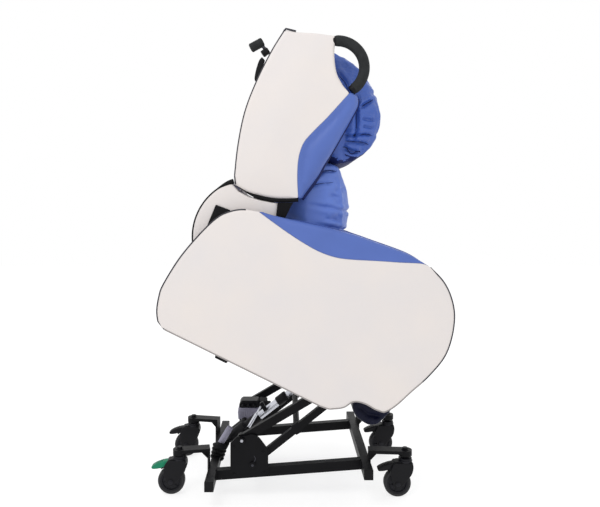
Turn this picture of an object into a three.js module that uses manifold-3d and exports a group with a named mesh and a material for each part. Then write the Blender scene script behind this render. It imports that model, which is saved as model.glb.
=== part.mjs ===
// Rise-and-recline care chair on a castor base, standing raised and tipped forward.
// Millimetres. +X is the chair's front, +Z is up, the chair is symmetric about Y = 0.
// "right" is the occupant's right, on the -Y side.
import * as THREE from "three";
import { mergeVertices } from "three/addons/utils/BufferGeometryUtils.js";
import Module from "manifold-3d";

const wasm = await Module();
wasm.setup();

// ---- driving dimensions -------------------------------------------------------------
const ORIGIN_X = 49.26; // from the drawing's zero to the middle of the overall length
const GAP = 0.4; // between pieces that touch
const SIDES = [["right", -1], ["left", 1]];

const SEAT_TILT = THREE.MathUtils.degToRad(26); // forward tilt when raised
const PIVOT_1 = [-157, 215]; // upper link on the base, x and z
const PIVOT_2 = [-118, 126]; // lower link on the base
const LINK_1 = { length: 380, angle: THREE.MathUtils.degToRad(30.2), depth: 30 };
const LINK_2 = { length: 372, angle: THREE.MathUtils.degToRad(38.3), depth: 25 };
const LINK_Y = [200, 222]; // inner and outer face of every link bar
const PIN_R = 8;
const LOOSE_PIN_R = 6; // the lower link's top pin, which has a slack eye
const ACTUATOR_FOOT = [-236, 122];
const ACTUATOR_EYE = [-10, 41]; // in the seat's frame

const BEAM = { width: 32, height: 35, halfLength: 316 };
const REAR_BEAM = { x: -267, bottom: 65 };
const FRONT_BEAM = { x: 294, bottom: 107 };
const RAIL_Y = 210;
const RAIL_WIDTH = 30;

const WHEEL_R = 50;
const WHEEL_WIDTH = 32;
const CASTOR_TRAIL = 30;
const CASTORS = [
  { name: "rear", x: -392, y: 180, legY: 160, legX: -284, top: 165 },
  { name: "front", x: 444, y: 200, legY: 190, legX: 311, top: 170 },
];

const PANEL_Y = [325, 370]; // side panel, inner and outer face
const ARM_INNER_Y = 256;
const WING_Y = [272, 310];
const CHEEK_Y = [268, 300];
const CUSHION_HALF = 228; // back cushions, half width
const RECLINE_PIVOT = [-121, 959]; // x and z with the seat raised
const SKIRT_R = 208;
const SEAT_HALF = 244;
const LEGREST_HINGE = [205, 262]; // in the seat's frame
const LOOP = { centre: [308, 601], r: 95, from: 93, to: -53, y: 291, tube: 17 }; // grab loop

// ---- materials ----------------------------------------------------------------------
const finish = (color, roughness, metalness) =>
  new THREE.MeshStandardMaterial({ color, roughness, metalness });
const WHITE = finish("#ece8e6", 0.6, 0);
const BLUE = finish("#5b78bd", 0.6, 0);
const NAVY = finish("#1e2a4a", 0.7, 0);
const STEEL = finish("#26272b", 0.45, 0.6);
const SILVER = finish("#a9abb2", 0.3, 0.9);
const FOAM = finish("#333638", 0.85, 0);
const PLASTIC = finish("#202124", 0.5, 0);
const TYRE = finish("#3a3b40", 0.7, 0);
const GREEN = finish("#2a8f6b", 0.5, 0);
const BOARD = finish("#8a6d4a", 0.8, 0);

// ---- building helpers ---------------------------------------------------------------
const DEG = Math.PI / 180;
const polar = (r, angle) => [r * Math.cos(angle), r * Math.sin(angle)];
const plus = (a, b) => [a[0] + b[0], a[1] + b[1]];

// A closed geometry as a manifold solid, and back.
function toSolid(geometry) {
  const bare = geometry.clone();
  bare.deleteAttribute("normal");
  bare.deleteAttribute("uv");
  const merged = mergeVertices(bare, 1e-4);
  return new wasm.Manifold(new wasm.Mesh({
    numProp: 3,
    vertProperties: new Float32Array(merged.attributes.position.array),
    triVerts: new Uint32Array(merged.index.array),
  }));
}

function toGeometry(solid) {
  const { vertProperties, triVerts } = solid.getMesh();
  const geometry = new THREE.BufferGeometry();
  geometry.setAttribute("position", new THREE.BufferAttribute(vertProperties, 3));
  geometry.setIndex(new THREE.BufferAttribute(triVerts, 1));
  geometry.computeVertexNormals();
  return geometry;
}

const join = (...geometries) =>
  toGeometry(geometries.map(toSolid).reduce((a, b) => a.add(b)));
const cut = (geometry, ...tools) =>
  toGeometry(tools.map(toSolid).reduce((a, b) => a.subtract(b), toSolid(geometry)));

// A straight-sided outline in the X-Z plane.
function polygon(points) {
  return new THREE.Shape(points.map(([x, z]) => new THREE.Vector2(x, z)));
}

// A smooth open curve through a few points, as a list of points.
function smooth(points, steps = 16) {
  const curve = new THREE.SplineCurve(points.map(([x, z]) => new THREE.Vector2(x, z)));
  return curve.getPoints(steps).map((p) => [p.x, p.y]);
}

function arc(centre, r, from, to, steps) {
  return Array.from({ length: steps + 1 }, (_, i) =>
    plus(centre, polar(r, (from + ((to - from) * i) / steps) * DEG)));
}

function hole(shape, centre, r) {
  const round = arc(centre, r, 360, 0, 20).slice(1).map(([x, z]) => new THREE.Vector2(x, z));
  shape.holes.push(new THREE.Path(round));
  return shape;
}

// An outline in the X-Z plane, drawn out from y0 to y1.
function slab(shape, y0, y1, curveSegments = 10) {
  const options = { depth: y1 - y0, bevelEnabled: false, curveSegments };
  return new THREE.ExtrudeGeometry(shape, options)
    .rotateX(Math.PI / 2)
    .translate(0, y1, 0);
}

const block = (x0, x1, y0, y1, z0, z1) =>
  new THREE.BoxGeometry(x1 - x0, y1 - y0, z1 - z0)
    .translate((x0 + x1) / 2, (y0 + y1) / 2, (z0 + z1) / 2);

// A round bar along Y.
const shaft = (centre, r, y0, y1, sides = 20) =>
  new THREE.CylinderGeometry(r, r, y1 - y0, sides)
    .translate(centre[0], (y0 + y1) / 2, centre[1]);

// A round bar in an X-Z plane, from a to b, at height y.
function rod(a, b, r, y = 0, sides = 16) {
  const run = [b[0] - a[0], b[1] - a[1]];
  return new THREE.CylinderGeometry(r, r, Math.hypot(...run), sides)
    .rotateZ(Math.PI / 2)
    .rotateY(-Math.atan2(run[1], run[0]))
    .translate((a[0] + b[0]) / 2, y, (a[1] + b[1]) / 2);
}

// A bar of rectangular section in an X-Z plane with round eyes at its ends.
function bar(a, b, depth, y0, y1, eyes) {
  const angle = Math.atan2(b[1] - a[1], b[0] - a[0]);
  const side = polar(depth / 2, angle + Math.PI / 2);
  const minus = [-side[0], -side[1]];
  const outline = polygon([plus(a, side), plus(b, side), plus(b, minus), plus(a, minus)]);
  const body = slab(outline, y0, y1);
  const [eyeA, eyeB] = eyes;
  return cut(
    join(body, shaft(a, eyeA.r, y0, y1), shaft(b, eyeB.r, y0, y1)),
    shaft(a, eyeA.hole, y0 - 1, y1 + 1),
    shaft(b, eyeB.hole, y0 - 1, y1 + 1),
  );
}

const mirrored = (geometry, side) => {
  if (side < 0) return geometry.clone();
  const copy = geometry.clone().scale(1, -1, 1);
  const index = copy.index
    ? Array.from(copy.index.array)
    : Array.from({ length: copy.attributes.position.count }, (_, i) => i);
  for (let i = 0; i < index.length; i += 3) {
    [index[i + 1], index[i + 2]] = [index[i + 2], index[i + 1]];
  }
  copy.setIndex(index);
  return copy;
};

function add(group, name, geometry, material) {
  const mesh = new THREE.Mesh(geometry, material);
  mesh.name = name;
  group.add(mesh);
  return mesh;
}

// One piece drawn on the -Y side, and its mirror image on the other.
function addPair(group, name, geometry, material) {
  for (const [word, side] of SIDES) {
    add(group, `${name}_${word}`, mirrored(geometry, side), material);
  }
}

// ---- base ---------------------------------------------------------------------------
// The arm that carries a castor: a leg plate on the beam's outer face, then a flat arm.
function castorArm({ x, y, legX, legY, top }, side, bottom) {
  const length = Math.hypot(x - legX, y - legY);
  const splay = Math.asin((y - legY) / length);
  const out = Math.sign(x);
  const arm = [
    block(0, 8, -23, 23, bottom, top),
    block(0, length + 4, -23, 23, top - 12, top),
    new THREE.CylinderGeometry(25, 25, 20, 24).rotateX(Math.PI / 2).translate(length, 0, top - 10),
    slab(polygon([[2, top - 50], [2, top - 5], [60, top - 5], [30, top - 20]]), -4, 4),
  ];
  const bore = new THREE.CylinderGeometry(9, 9, 30, 20)
    .rotateX(Math.PI / 2).translate(length, 0, top - 10);
  const solid = cut(join(...arm), bore);
  return solid
    .rotateZ(out > 0 ? side * splay : Math.PI - side * splay)
    .translate(legX, side * legY, 0);
}

function crossmember(beam, castor) {
  const { width, height, halfLength } = BEAM;
  const outer = Math.sign(beam.x);
  const parts = [
    block(beam.x - width / 2, beam.x + width / 2, -halfLength, halfLength,
      beam.bottom, beam.bottom + height),
  ];
  for (const [, side] of SIDES) {
    parts.push(castorArm({ ...castor, legX: beam.x + outer * (width / 2 - 1) },
      side, beam.bottom + 2));
  }
  return parts;
}

function addBase(group) {
  const [rearCastor, frontCastor] = CASTORS;
  const footLug = slab(
    polygon([[-280, 84], [-252, 84], [-226, 112], [-226, 132], [-246, 132]]), 14, 20);
  const footPin = shaft(ACTUATOR_FOOT, 6, -18, 18, 16);
  add(group, "rear_crossmember",
    join(...crossmember(REAR_BEAM, rearCastor), footPin, footLug,
      footLug.clone().translate(0, -34, 0)),
    STEEL);
  add(group, "front_crossmember", join(...crossmember(FRONT_BEAM, frontCastor)), STEEL);

  const start = REAR_BEAM.x + BEAM.width / 2 + GAP;
  const end = FRONT_BEAM.x - BEAM.width / 2 - GAP;
  const slope = (FRONT_BEAM.bottom - REAR_BEAM.bottom) / (FRONT_BEAM.x - REAR_BEAM.x);
  const railBottom = (x) => REAR_BEAM.bottom + slope * (x - REAR_BEAM.x);
  const rail = polygon([
    [start, railBottom(start)], [end, railBottom(end)],
    [end, railBottom(end) + BEAM.height], [start, railBottom(start) + BEAM.height],
  ]);
  addPair(group, "side_rail", slab(rail, -RAIL_Y - RAIL_WIDTH / 2, -RAIL_Y + RAIL_WIDTH / 2), STEEL);

  const outer = -RAIL_Y - RAIL_WIDTH / 2 - GAP;
  const plate = polygon([
    [-199, railBottom(-199) + 3], [-61, railBottom(-61) + 3], [-61, 181], [-92, 222],
    ...arc([-121, 200], 36, 60, 120, 4), [-177, 226], [-199, 203],
  ]);
  const pins = [PIVOT_1, PIVOT_2].map((p) => shaft(p, PIN_R, outer - 3, -LINK_Y[0] + 2));
  const bolts = [PIVOT_1, PIVOT_2].map((p) => shaft(p, 11, outer - 12, outer - 5, 6));
  addPair(group, "pivot_plate", join(slab(plate, outer - 6, outer), ...pins, ...bolts), STEEL);

  const box = block(-195, -112, 76, 150, 186, 236);
  const cap = block(-188, -104, 80, 146, 235, 264);
  const post = block(-150, -122, 98, 118, 92, 187);
  const inside = RAIL_Y - RAIL_WIDTH / 2 - GAP;
  const cross = shaft([-136, 92], 12, -inside, inside, 16);
  add(group, "control_box", join(box, cap, post, cross), SILVER);
}

// ---- castors ------------------------------------------------------------------------
function castorFork() {
  const axle = [-CASTOR_TRAIL, WHEEL_R];
  const side = polygon([
    [24, 128], [26, 96], [4, 62], ...arc(axle, 17, 20, -160, 8), [-56, 92], [-44, 128],
  ]);
  const stem = new THREE.CylinderGeometry(8.4, 8.4, 28, 20).rotateX(Math.PI / 2).translate(0, 0, 140);
  const race = new THREE.CylinderGeometry(22, 24, 14, 24).rotateX(Math.PI / 2).translate(0, 0, 134);
  const hood = join(slab(side, -25, 25), race, stem);
  const hollow = shaft(axle, WHEEL_R + 5, -WHEEL_WIDTH / 2 - 1.5, WHEEL_WIDTH / 2 + 1.5, 32);
  const pedalSlot = block(-70, -36, -15, 15, 104, 126);
  return join(cut(hood, hollow, pedalSlot), shaft(axle, 6, -24, 24, 16));
}

function castorWheel() {
  const axle = [-CASTOR_TRAIL, WHEEL_R];
  const half = WHEEL_WIDTH / 2;
  const profile = [
    [6.4, -half + 2], [34, -half + 4], [39, -half], [46, -half], [50, -half + 7],
    [50, half - 7], [46, half], [39, half], [34, half - 4], [6.4, half - 2], [6.4, -half + 2],
  ].map(([r, y]) => new THREE.Vector2(r, y));
  return new THREE.LatheGeometry(profile, 26).translate(axle[0], 0, axle[1]);
}

function castorPedal() {
  const outline = polygon([
    [-38, 107], [-38, 118], [-60, 124], [-84, 117], [-92, 110], [-90, 104], [-82, 106], [-60, 110],
    [-50, 107],
  ]);
  return slab(outline, -14, 14);
}

function addCastors(group) {
  for (const { name, x, y, top } of CASTORS) {
    const lift = top - 165;
    for (const [word, side] of SIDES) {
      const castor = new THREE.Group();
      castor.position.set(x, side * y, 0);
      const pedalPaint = name === "rear" && side < 0 ? GREEN : PLASTIC;
      add(castor, `castor_fork_${name}_${word}`, forkFor(lift), PLASTIC);
      add(castor, `castor_wheel_${name}_${word}`, castorWheel(), TYRE);
      add(castor, `brake_pedal_${name}_${word}`, castorPedal(), pedalPaint);
      group.add(castor);
    }
  }
}

// The front castors carry a slightly higher arm on a longer stem.
function forkFor(lift) {
  if (!lift) return castorFork();
  const collar = new THREE.CylinderGeometry(14, 14, 10 + lift, 20)
    .rotateX(Math.PI / 2).translate(0, 0, 140 + lift / 2);
  return join(castorFork(), collar);
}

// ---- lift linkage -------------------------------------------------------------------
const linkEnd = (pivot, link) => plus(pivot, polar(link.length, link.angle));
const SEAT_PIVOT = linkEnd(PIVOT_1, LINK_1); // the seat's own zero

// World x and z of a point given in the seat's frame, with the seat raised.
function fromSeat([x, z]) {
  const c = Math.cos(SEAT_TILT);
  const s = Math.sin(SEAT_TILT);
  return [SEAT_PIVOT[0] + x * c + z * s, SEAT_PIVOT[1] - x * s + z * c];
}

function toSeat([x, z]) {
  const dx = x - SEAT_PIVOT[0];
  const dz = z - SEAT_PIVOT[1];
  const c = Math.cos(SEAT_TILT);
  const s = Math.sin(SEAT_TILT);
  return [dx * c - dz * s, dx * s + dz * c];
}

function addLinkage(group) {
  const [inner, outer] = LINK_Y;
  const fixedEye = { r: 19, hole: PIN_R + 0.5 };
  const upper = bar(PIVOT_1, SEAT_PIVOT, LINK_1.depth, -outer, -inner, [fixedEye, fixedEye]);
  addPair(group, "upper_link", upper, STEEL);

  const top = linkEnd(PIVOT_2, LINK_2);
  const slackEye = { r: 19, hole: LOOSE_PIN_R + 5 };
  const tubeAt = plus(PIVOT_2, polar(205, LINK_2.angle));
  const lug = shaft(tubeAt, 22, -outer, -inner, 6);
  const lower = join(
    bar(PIVOT_2, top, LINK_2.depth, -outer, -inner, [{ ...fixedEye, r: 14 }, slackEye]), lug);
  addPair(group, "lower_link", lower, STEEL);
  add(group, "lower_link_tube", shaft(tubeAt, 12, -inner + GAP, inner - GAP, 16), STEEL);

  const eye = fromSeat(ACTUATOR_EYE);
  const run = Math.atan2(eye[1] - ACTUATOR_FOOT[1], eye[0] - ACTUATOR_FOOT[0]);
  const along = (d) => plus(ACTUATOR_FOOT, polar(d, run));
  const reach = Math.hypot(eye[0] - ACTUATOR_FOOT[0], eye[1] - ACTUATOR_FOOT[1]);
  const housing = rod(along(26), along(106), 27, 0, 16);
  const motor = [rod(along(40), along(92), 22, 24, 16), rod(along(-4), along(112), 24, 46, 16)];
  const body = cut(
    join(shaft(ACTUATOR_FOOT, 14, -13, 13), rod(along(4), along(40), 11), housing, ...motor,
      rod(along(104), along(310), 20, 0, 16)),
    rod(along(168), along(320), 13, 0, 16),
    shaft(ACTUATOR_FOOT, 6.5, -20, 20),
  );
  add(group, "lift_actuator_body", body, SILVER);
  const stroke = cut(
    join(rod(along(236), along(reach - 14), 12.4, 0, 16), shaft(eye, 19, -10, 10)),
    shaft(eye, LOOSE_PIN_R + 6.5, -12, 12),
  );
  add(group, "lift_actuator_rod", stroke, SILVER);
}

// ---- seat, drawn level in its own frame ---------------------------------------------
// The panel's outline below the coloured arm, anticlockwise from the rear bottom corner.
const PANEL_BOTTOM = [
  [-643, -43], [-36, -45], ...smooth([[-2, -41], [40, -14], [61, 18], [97, 30], [140, 28]], 10),
];
const PANEL_NOSE = smooth(
  [[170, 31], [198, 69], [226, 138], [254, 206], [275, 289], [270, 360], [246, 434], [208, 487],
    [160, 525], [98, 549]], 22);
const ARM_SEAM = smooth(
  [[67, 549], [-7, 518], [-83, 487], [-159, 455], [-211, 438], [-269, 431], [-331, 434],
    [-395, 442], [-461, 453], [-515, 463]], 20);
const PANEL_REAR = smooth(
  [[-566, 447], [-604, 421], [-636, 381], [-665, 304], [-691, 200], [-702, 93], [-697, 50],
    [-683, 5], [-664, -27]], 18);
const ARM_TOP = smooth(
  [[67, 552], [5, 557], [-112, 545], [-220, 530], [-453, 476], [-506, 467]], 12);

function addSeatFrame(group) {
  const railShape = polygon([[-575, 80], [150, 80], [150, 110], [-575, 110]]);
  addPair(group, "seat_rail", slab(railShape, -245, -215), STEEL);

  const outer = LINK_Y[1] + 4;
  const pivot2 = toSeat(linkEnd(PIVOT_2, LINK_2));
  const lug = polygon([
    [-24, 79.6], ...arc([0, 0], 22, 180, 230, 3), ...arc(pivot2, 17, 230, 360, 6), [46, 79.6],
  ]);
  const pin1 = shaft([0, 0], PIN_R, -outer - 3, -LINK_Y[0] + 2);
  const pin2 = shaft(pivot2, LOOSE_PIN_R, -outer - 3, -LINK_Y[0] + 2);
  const heads = [[0, 0], pivot2].map((p) => shaft(p, 10, -outer - 11, -outer - 4, 6));
  addPair(group, "link_lug", join(slab(lug, -outer - 6, -outer), pin1, pin2, ...heads), STEEL);

  const tubeY = 215 - GAP;
  const clevis = polygon([[4, 104], [34, 104], [4, 28], [-22, 28], [-22, 50]]);
  const plates = [14, -20].map((y) => slab(clevis, y, y + 6));
  const eyePin = shaft(ACTUATOR_EYE, LOOSE_PIN_R, -18, 18, 16);
  add(group, "seat_front_tube",
    join(shaft([20, 95], 14, -tubeY, tubeY, 20), ...plates, eyePin), STEEL);
  add(group, "seat_rear_tube", shaft([-545, 95], 14, -tubeY, tubeY, 20), STEEL);
  add(group, "seat_deck", block(-330, 138, -SEAT_HALF, SEAT_HALF, 116, 130), BOARD);

  const pivot = toSeat(RECLINE_PIVOT);
  const upright = polygon([
    [pivot[0] - 45, 82], [pivot[0] + 45, 82], [pivot[0] + 26, pivot[1]],
    ...arc(pivot, 26, 20, 160, 6), [pivot[0] - 26, pivot[1]],
  ]);
  const bracket = cut(
    join(slab(upright, -318, -312), block(pivot[0] - 45, pivot[0] + 45, -316, -245 - GAP, 82, 90)),
    shaft(pivot, PIN_R + 0.5, -330, -300),
  );
  addPair(group, "recline_bracket", bracket, STEEL);

  const [hx, hz] = LEGREST_HINGE;
  const ear = polygon([[100, 112], [150, 82], [hx + 14, hz - 8], ...arc(LEGREST_HINGE, 14, 0, 180, 6),
    [hx - 16, hz - 20]]);
  const earPin = shaft(LEGREST_HINGE, 5, -252, -238);
  addPair(group, "legrest_bracket", join(slab(ear, -251, -245 - GAP), earPin), STEEL);
}

function addSeatUpholstery(group) {
  const [inner, outer] = PANEL_Y;
  const panelTop = ARM_SEAM.map(([x, z]) => [x, z - GAP]);
  const panel = polygon([...PANEL_BOTTOM, ...PANEL_NOSE, ...panelTop, ...PANEL_REAR]);
  addPair(group, "side_panel", slab(panel, -outer, -inner), WHITE);

  // The coloured arm: a band over the panel's top edge and a pad down the inside.
  const seam = [...ARM_SEAM].reverse();
  const band = polygon([...seam, ...ARM_TOP]);
  const padding = polygon([
    [-300, 132], [185, 132], [205, 180], [228, 289], [222, 360], [200, 430], [168, 480],
    [120, 515], [67, 540], [5, 551], [-112, 540], [-220, 525], [-395, 488], [-412, 470],
  ]);
  const bandEnd = -395; // behind this the coloured band is too thin to be a solid
  const tail = block(-900, bandEnd, -outer - 5, -ARM_INNER_Y, 300, 700);
  const pad = join(slab(padding, -inner + GAP, -ARM_INNER_Y),
    cut(slab(band, -outer, -inner + 2), tail));
  addPair(group, "arm_pad", pad, BLUE);

  const cushion = polygon([
    [-330, 131], [138, 131], [143, 150], [143, 240], [132, 262], [110, 270], [-280, 268],
    [-322, 258], [-330, 235],
  ]);
  add(group, "seat_cushion", slab(cushion, -SEAT_HALF, SEAT_HALF), BLUE);
}

function addLegrest(group) {
  const hx = LEGREST_HINGE[0];
  const pad = polygon([
    [178, -70], [196, -58], [214, -28], [229, 7], [234, 60], [234, 240], [226, 262], [210, 268],
    [192, 268], [162, 262], [153, 245], [153, -20], [150, -60], [160, -70],
  ]);
  add(group, "legrest_pad", slab(pad, -234, 234), NAVY);
  const arm = polygon([
    ...arc(LEGREST_HINGE, 13, 0, 180, 6), [hx - 30, 120], [hx - 30, 40], [hx - 12, 40], [hx + 2, 200],
  ]);
  addPair(group, "legrest_arm",
    cut(slab(arm, -241, -235), shaft(LEGREST_HINGE, 5.5, -260, -220)), STEEL);
}

// ---- back, drawn as it stands when the seat is raised, zero at the recline pivot -----
const BACK_REAR = smooth(
  [[121, 733], [74, 657], [20, 549], [-21, 441], [-45, 324], [-57, 217]], 16);
const BACK_BOTTOM = smooth([[-52, 183], [-11, 160], [33, 147], [79, 138], [123, 136], [168, 138]], 8);
const WING_SEAM = smooth(
  [[168, 138], [165, 203], [167, 261], [175, 302], [191, 338], [227, 378], [272, 423], [348, 507]],
  16);

function addBack(group) {
  const [inner, outer] = WING_Y;
  const wing = polygon([
    ...BACK_REAR, ...BACK_BOTTOM, ...WING_SEAM.slice(1),
    ...smooth([[321, 545], [303, 585], [296, 648], [301, 711]], 6), [236, 720], [160, 725],
  ]);
  addPair(group, "wing_panel", slab(wing, -outer, -inner), WHITE);

  const seamFront = WING_SEAM.map(([x, z]) => [x + GAP, z - GAP]).reverse();
  const wingPad = polygon([
    ...seamFront, [181, 136], [237, 226], [262, 272], [297, 307], [340, 380], [352, 430], [352, 500],
  ]);
  addPair(group, "wing_pad", slab(wingPad, -outer, -CUSHION_HALF - 5), BLUE);

  const inset = BACK_REAR.map(([x, z], i) => [x + 4, z - (i === 0 ? 4 : 0)]);
  const shell = polygon([...inset, ...inset.map(([x, z]) => [x + 16, z]).reverse()]);
  add(group, "back_shell", slab(shell, -inner + GAP, inner - GAP), WHITE);

  addSkirt(group);
  addBackFrame(group);

  const lumbar = polygon([
    [110, -60], [180, -170], [250, -120], ...smooth([[320, -40], [342, 60], [343, 120], [332, 200],
      [322, 254]], 8), [150, 300], [104, 290], [96, 100],
  ]);
  add(group, "lumbar_cushion", slab(lumbar, -CUSHION_HALF, CUSHION_HALF), BLUE);
  const head = polygon([
    [320, 258], ...smooth([[366, 272], [403, 289], [432, 318], [461, 378], [468, 430], [461, 483],
      [436, 556], [395, 607], [351, 637], [311, 668]], 14), [250, 676], [150, 640], [112, 500],
    [106, 306], [152, 304],
  ]);
  add(group, "head_cushion", slab(head, -CUSHION_HALF + 3, CUSHION_HALF - 3), BLUE);

  const points = arc(LOOP.centre, LOOP.r, LOOP.from, LOOP.to, 12)
    .map(([x, z]) => new THREE.Vector3(x, -LOOP.y, z));
  const ring = polygon(arc([0, 0], LOOP.tube, 0, 324, 9));
  const loop = new THREE.ExtrudeGeometry(ring, {
    extrudePath: new THREE.CatmullRomCurve3(points), steps: 20, bevelEnabled: false,
  });
  addPair(group, "grab_loop", loop, FOAM);
  addHandles(group);
}

// Side cheeks and a curved rear sheet that close the gap below the back as it reclines.
function addSkirt(group) {
  const [inner, outer] = CHEEK_Y;
  const under = [[96, 122], [79, 124], [33, 133], [-11, 146], [-44, 164]];
  const cheek = hole(polygon([
    ...under, ...arc([0, 0], SKIRT_R, 110, 195, 14), [-60, -52], [40, -40], [96, 0],
  ]), [0, 0], 14);
  const sheet = polygon([
    ...arc([0, 0], SKIRT_R, 110, 195, 14), ...arc([0, 0], SKIRT_R - 12, 195, 110, 14),
  ]);
  const cheeks = [slab(cheek, -outer, -inner), slab(cheek, inner, outer)];
  add(group, "lower_back_skirt", join(...cheeks, slab(sheet, -inner - 5, inner + 5)), WHITE);
}

function addBackFrame(group) {
  const crossShaft = shaft([0, 0], 12, -303, 303, 16);
  const ends = shaft([0, 0], PIN_R, -321, 321, 20);
  const parts = [crossShaft, ends];
  for (const side of [-1, 1]) {
    parts.push(rod([0, 0], [70, 560], 12.5, side * 215, 12));
    const plate = polygon([[-24, -16], [18, -22], [118, 60], [150, 122], [96, 122], [88, 64]]);
    parts.push(side < 0 ? slab(plate, -308, -302) : slab(plate, 302, 308));
  }
  for (const z of [300, 555]) parts.push(shaft([z / 8, z], 11, -215, 215, 12));
  const lever = polygon([[0, 14], ...arc(polar(120, 200 * DEG), 16, 110, 290, 8), [8, -14]]);
  parts.push(slab(lever, 12, 18), slab(lever, -18, -12), shaft(polar(120, 200 * DEG), 5, -14, 14, 12));
  add(group, "back_frame", join(...parts), STEEL);
}

function addHandles(group) {
  const y = -250;
  const grip = rod([0, 668], [42, 692], 17, y, 20);
  const stalk = rod([30, 682], [52, 660], 6, y, 12);
  const clamp = rod([42, 648], [62, 662], 13, y, 16);
  addPair(group, "push_handle", join(grip, stalk, clamp), FOAM);
  const lever = polygon([[34, 632], [24, 622], [12, 560], [18, 553], [26, 558], [44, 620]]);
  addPair(group, "release_lever", slab(lever, y - 7, y + 7), PLASTIC);
}

// ---- assembly -----------------------------------------------------------------------
const chair = new THREE.Group();
chair.position.set(-ORIGIN_X, 0, 0);
addBase(chair);
addCastors(chair);
addLinkage(chair);

const seat = new THREE.Group();
seat.position.set(SEAT_PIVOT[0], 0, SEAT_PIVOT[1]);
seat.rotation.y = SEAT_TILT;
addSeatFrame(seat);
addSeatUpholstery(seat);
addLegrest(seat);
chair.add(seat);

const back = new THREE.Group();
back.position.set(RECLINE_PIVOT[0], 0, RECLINE_PIVOT[1]);
addBack(back);
chair.add(back);

const part = new THREE.Group();
part.add(chair);
export default part;
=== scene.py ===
"""Looks of a rise-and-recline care chair, raised on its lift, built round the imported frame.

Blender works in metres in the row frame. Outlines are in millimetres in the frame of the
assembly that they belong to: the seat's (level, zero at the upper link's top pin), the
back's (zero at the recline pivot) or the base's. Sizes of details are in millimetres too.
"""

import math

import bmesh
import bpy
import numpy as np
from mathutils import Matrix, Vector
from mathutils.geometry import delaunay_2d_cdt


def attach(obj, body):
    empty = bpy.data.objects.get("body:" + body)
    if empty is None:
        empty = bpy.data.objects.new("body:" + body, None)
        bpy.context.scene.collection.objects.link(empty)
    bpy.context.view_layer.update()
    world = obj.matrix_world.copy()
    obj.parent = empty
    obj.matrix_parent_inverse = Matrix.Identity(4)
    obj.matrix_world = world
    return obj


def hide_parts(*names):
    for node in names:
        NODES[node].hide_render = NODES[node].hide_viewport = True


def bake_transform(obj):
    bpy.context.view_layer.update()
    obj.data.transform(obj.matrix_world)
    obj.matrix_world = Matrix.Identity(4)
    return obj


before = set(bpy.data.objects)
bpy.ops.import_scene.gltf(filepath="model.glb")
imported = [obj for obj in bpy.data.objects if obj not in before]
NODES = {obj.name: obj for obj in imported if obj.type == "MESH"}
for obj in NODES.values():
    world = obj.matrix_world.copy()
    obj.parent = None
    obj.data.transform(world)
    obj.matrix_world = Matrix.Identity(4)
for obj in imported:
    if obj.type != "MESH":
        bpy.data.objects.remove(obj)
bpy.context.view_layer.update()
scene = bpy.context.scene

# ---- the part's own frames ----------------------------------------------------------
ORIGIN_X = 49.26  # the base drawing's zero, from the middle of the overall length
SEAT_TILT = math.radians(26)
SEAT_ZERO = (122.16, 406.15)
BACK_ZERO = (-170.26, 959.0)
SIDES = (("right", -1), ("left", 1))


def on_base(x, y, z):
    return Vector(((x - ORIGIN_X) / 1000, y / 1000, z / 1000))


def on_seat(x, y, z):
    c, s = math.cos(SEAT_TILT), math.sin(SEAT_TILT)
    return Vector(((SEAT_ZERO[0] + x * c + z * s) / 1000, y / 1000,
                   (SEAT_ZERO[1] - x * s + z * c) / 1000))


def on_back(x, y, z):
    return Vector(((BACK_ZERO[0] + x) / 1000, y / 1000, (BACK_ZERO[1] + z) / 1000))


def line_at(place, y, points):
    return [tuple(place(x, y, z)) for x, z in points]


# ---- outlines -----------------------------------------------------------------------
def spline(points, step=7.0):
    """A smooth open line through a few points, sampled every step."""
    p = np.array(points, float)
    ends = np.vstack([2 * p[0] - p[1], p, 2 * p[-1] - p[-2]])
    out = []
    for i in range(len(p) - 1):
        a, b, c, d = ends[i:i + 4]
        n = max(2, int(np.linalg.norm(c - b) / step))
        for k in range(n):
            t = k / n
            out.append(0.5 * ((2 * b) + (c - a) * t + (2 * a - 5 * b + 4 * c - d) * t * t
                              + (3 * b - a - 3 * c + d) * t ** 3))
    out.append(p[-1])
    return [tuple(q) for q in out]


def resample(points, step, closed=False):
    """The same line with even spacing."""
    p = np.array(points, float)
    if closed:
        p = np.vstack([p, p[:1]])
    run = np.concatenate([[0], np.cumsum(np.linalg.norm(np.diff(p, axis=0), axis=1))])
    n = max(3, int(round(run[-1] / step)))
    at = np.linspace(0, run[-1], n + 1)
    out = np.column_stack([np.interp(at, run, p[:, i]) for i in range(p.shape[1])])
    return out[:-1] if closed else out


def arc(centre, r, start, end, n):
    """Points on a circle, angles in degrees."""
    return [(centre[0] + r * math.cos(math.radians(a)), centre[1] + r * math.sin(math.radians(a)))
            for a in np.linspace(start, end, n + 1)]


def to_line(points, line, closed=False):
    """Distance of each point from a line in the same plane, and the nearest stretch's index."""
    a = np.asarray(line, float)
    b = np.roll(a, -1, axis=0) if closed else a[1:]
    a = a if closed else a[:-1]
    d = b - a
    length = np.maximum((d ** 2).sum(1), 1e-12)
    p = np.asarray(points, float)
    t = np.clip(((p[:, None] - a) * d).sum(2) / length, 0, 1)
    gap = np.linalg.norm(p[:, None] - (a + t[..., None] * d), axis=2)
    return gap.min(1), gap.argmin(1)


def inside(points, outline):
    p, o = np.asarray(points, float), np.asarray(outline, float)
    crossed = np.zeros(len(p), bool)
    for (x0, z0), (x1, z1) in zip(o, np.roll(o, -1, axis=0)):
        spans = (z0 > p[:, 1]) != (z1 > p[:, 1])
        if z1 != z0:
            crossed ^= spans & (p[:, 0] < (x1 - x0) * (p[:, 1] - z0) / (z1 - z0) + x0)
    return crossed


def smoothstep(t):
    t = np.clip(t, 0, 1)
    return t * t * (3 - 2 * t)


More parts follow.
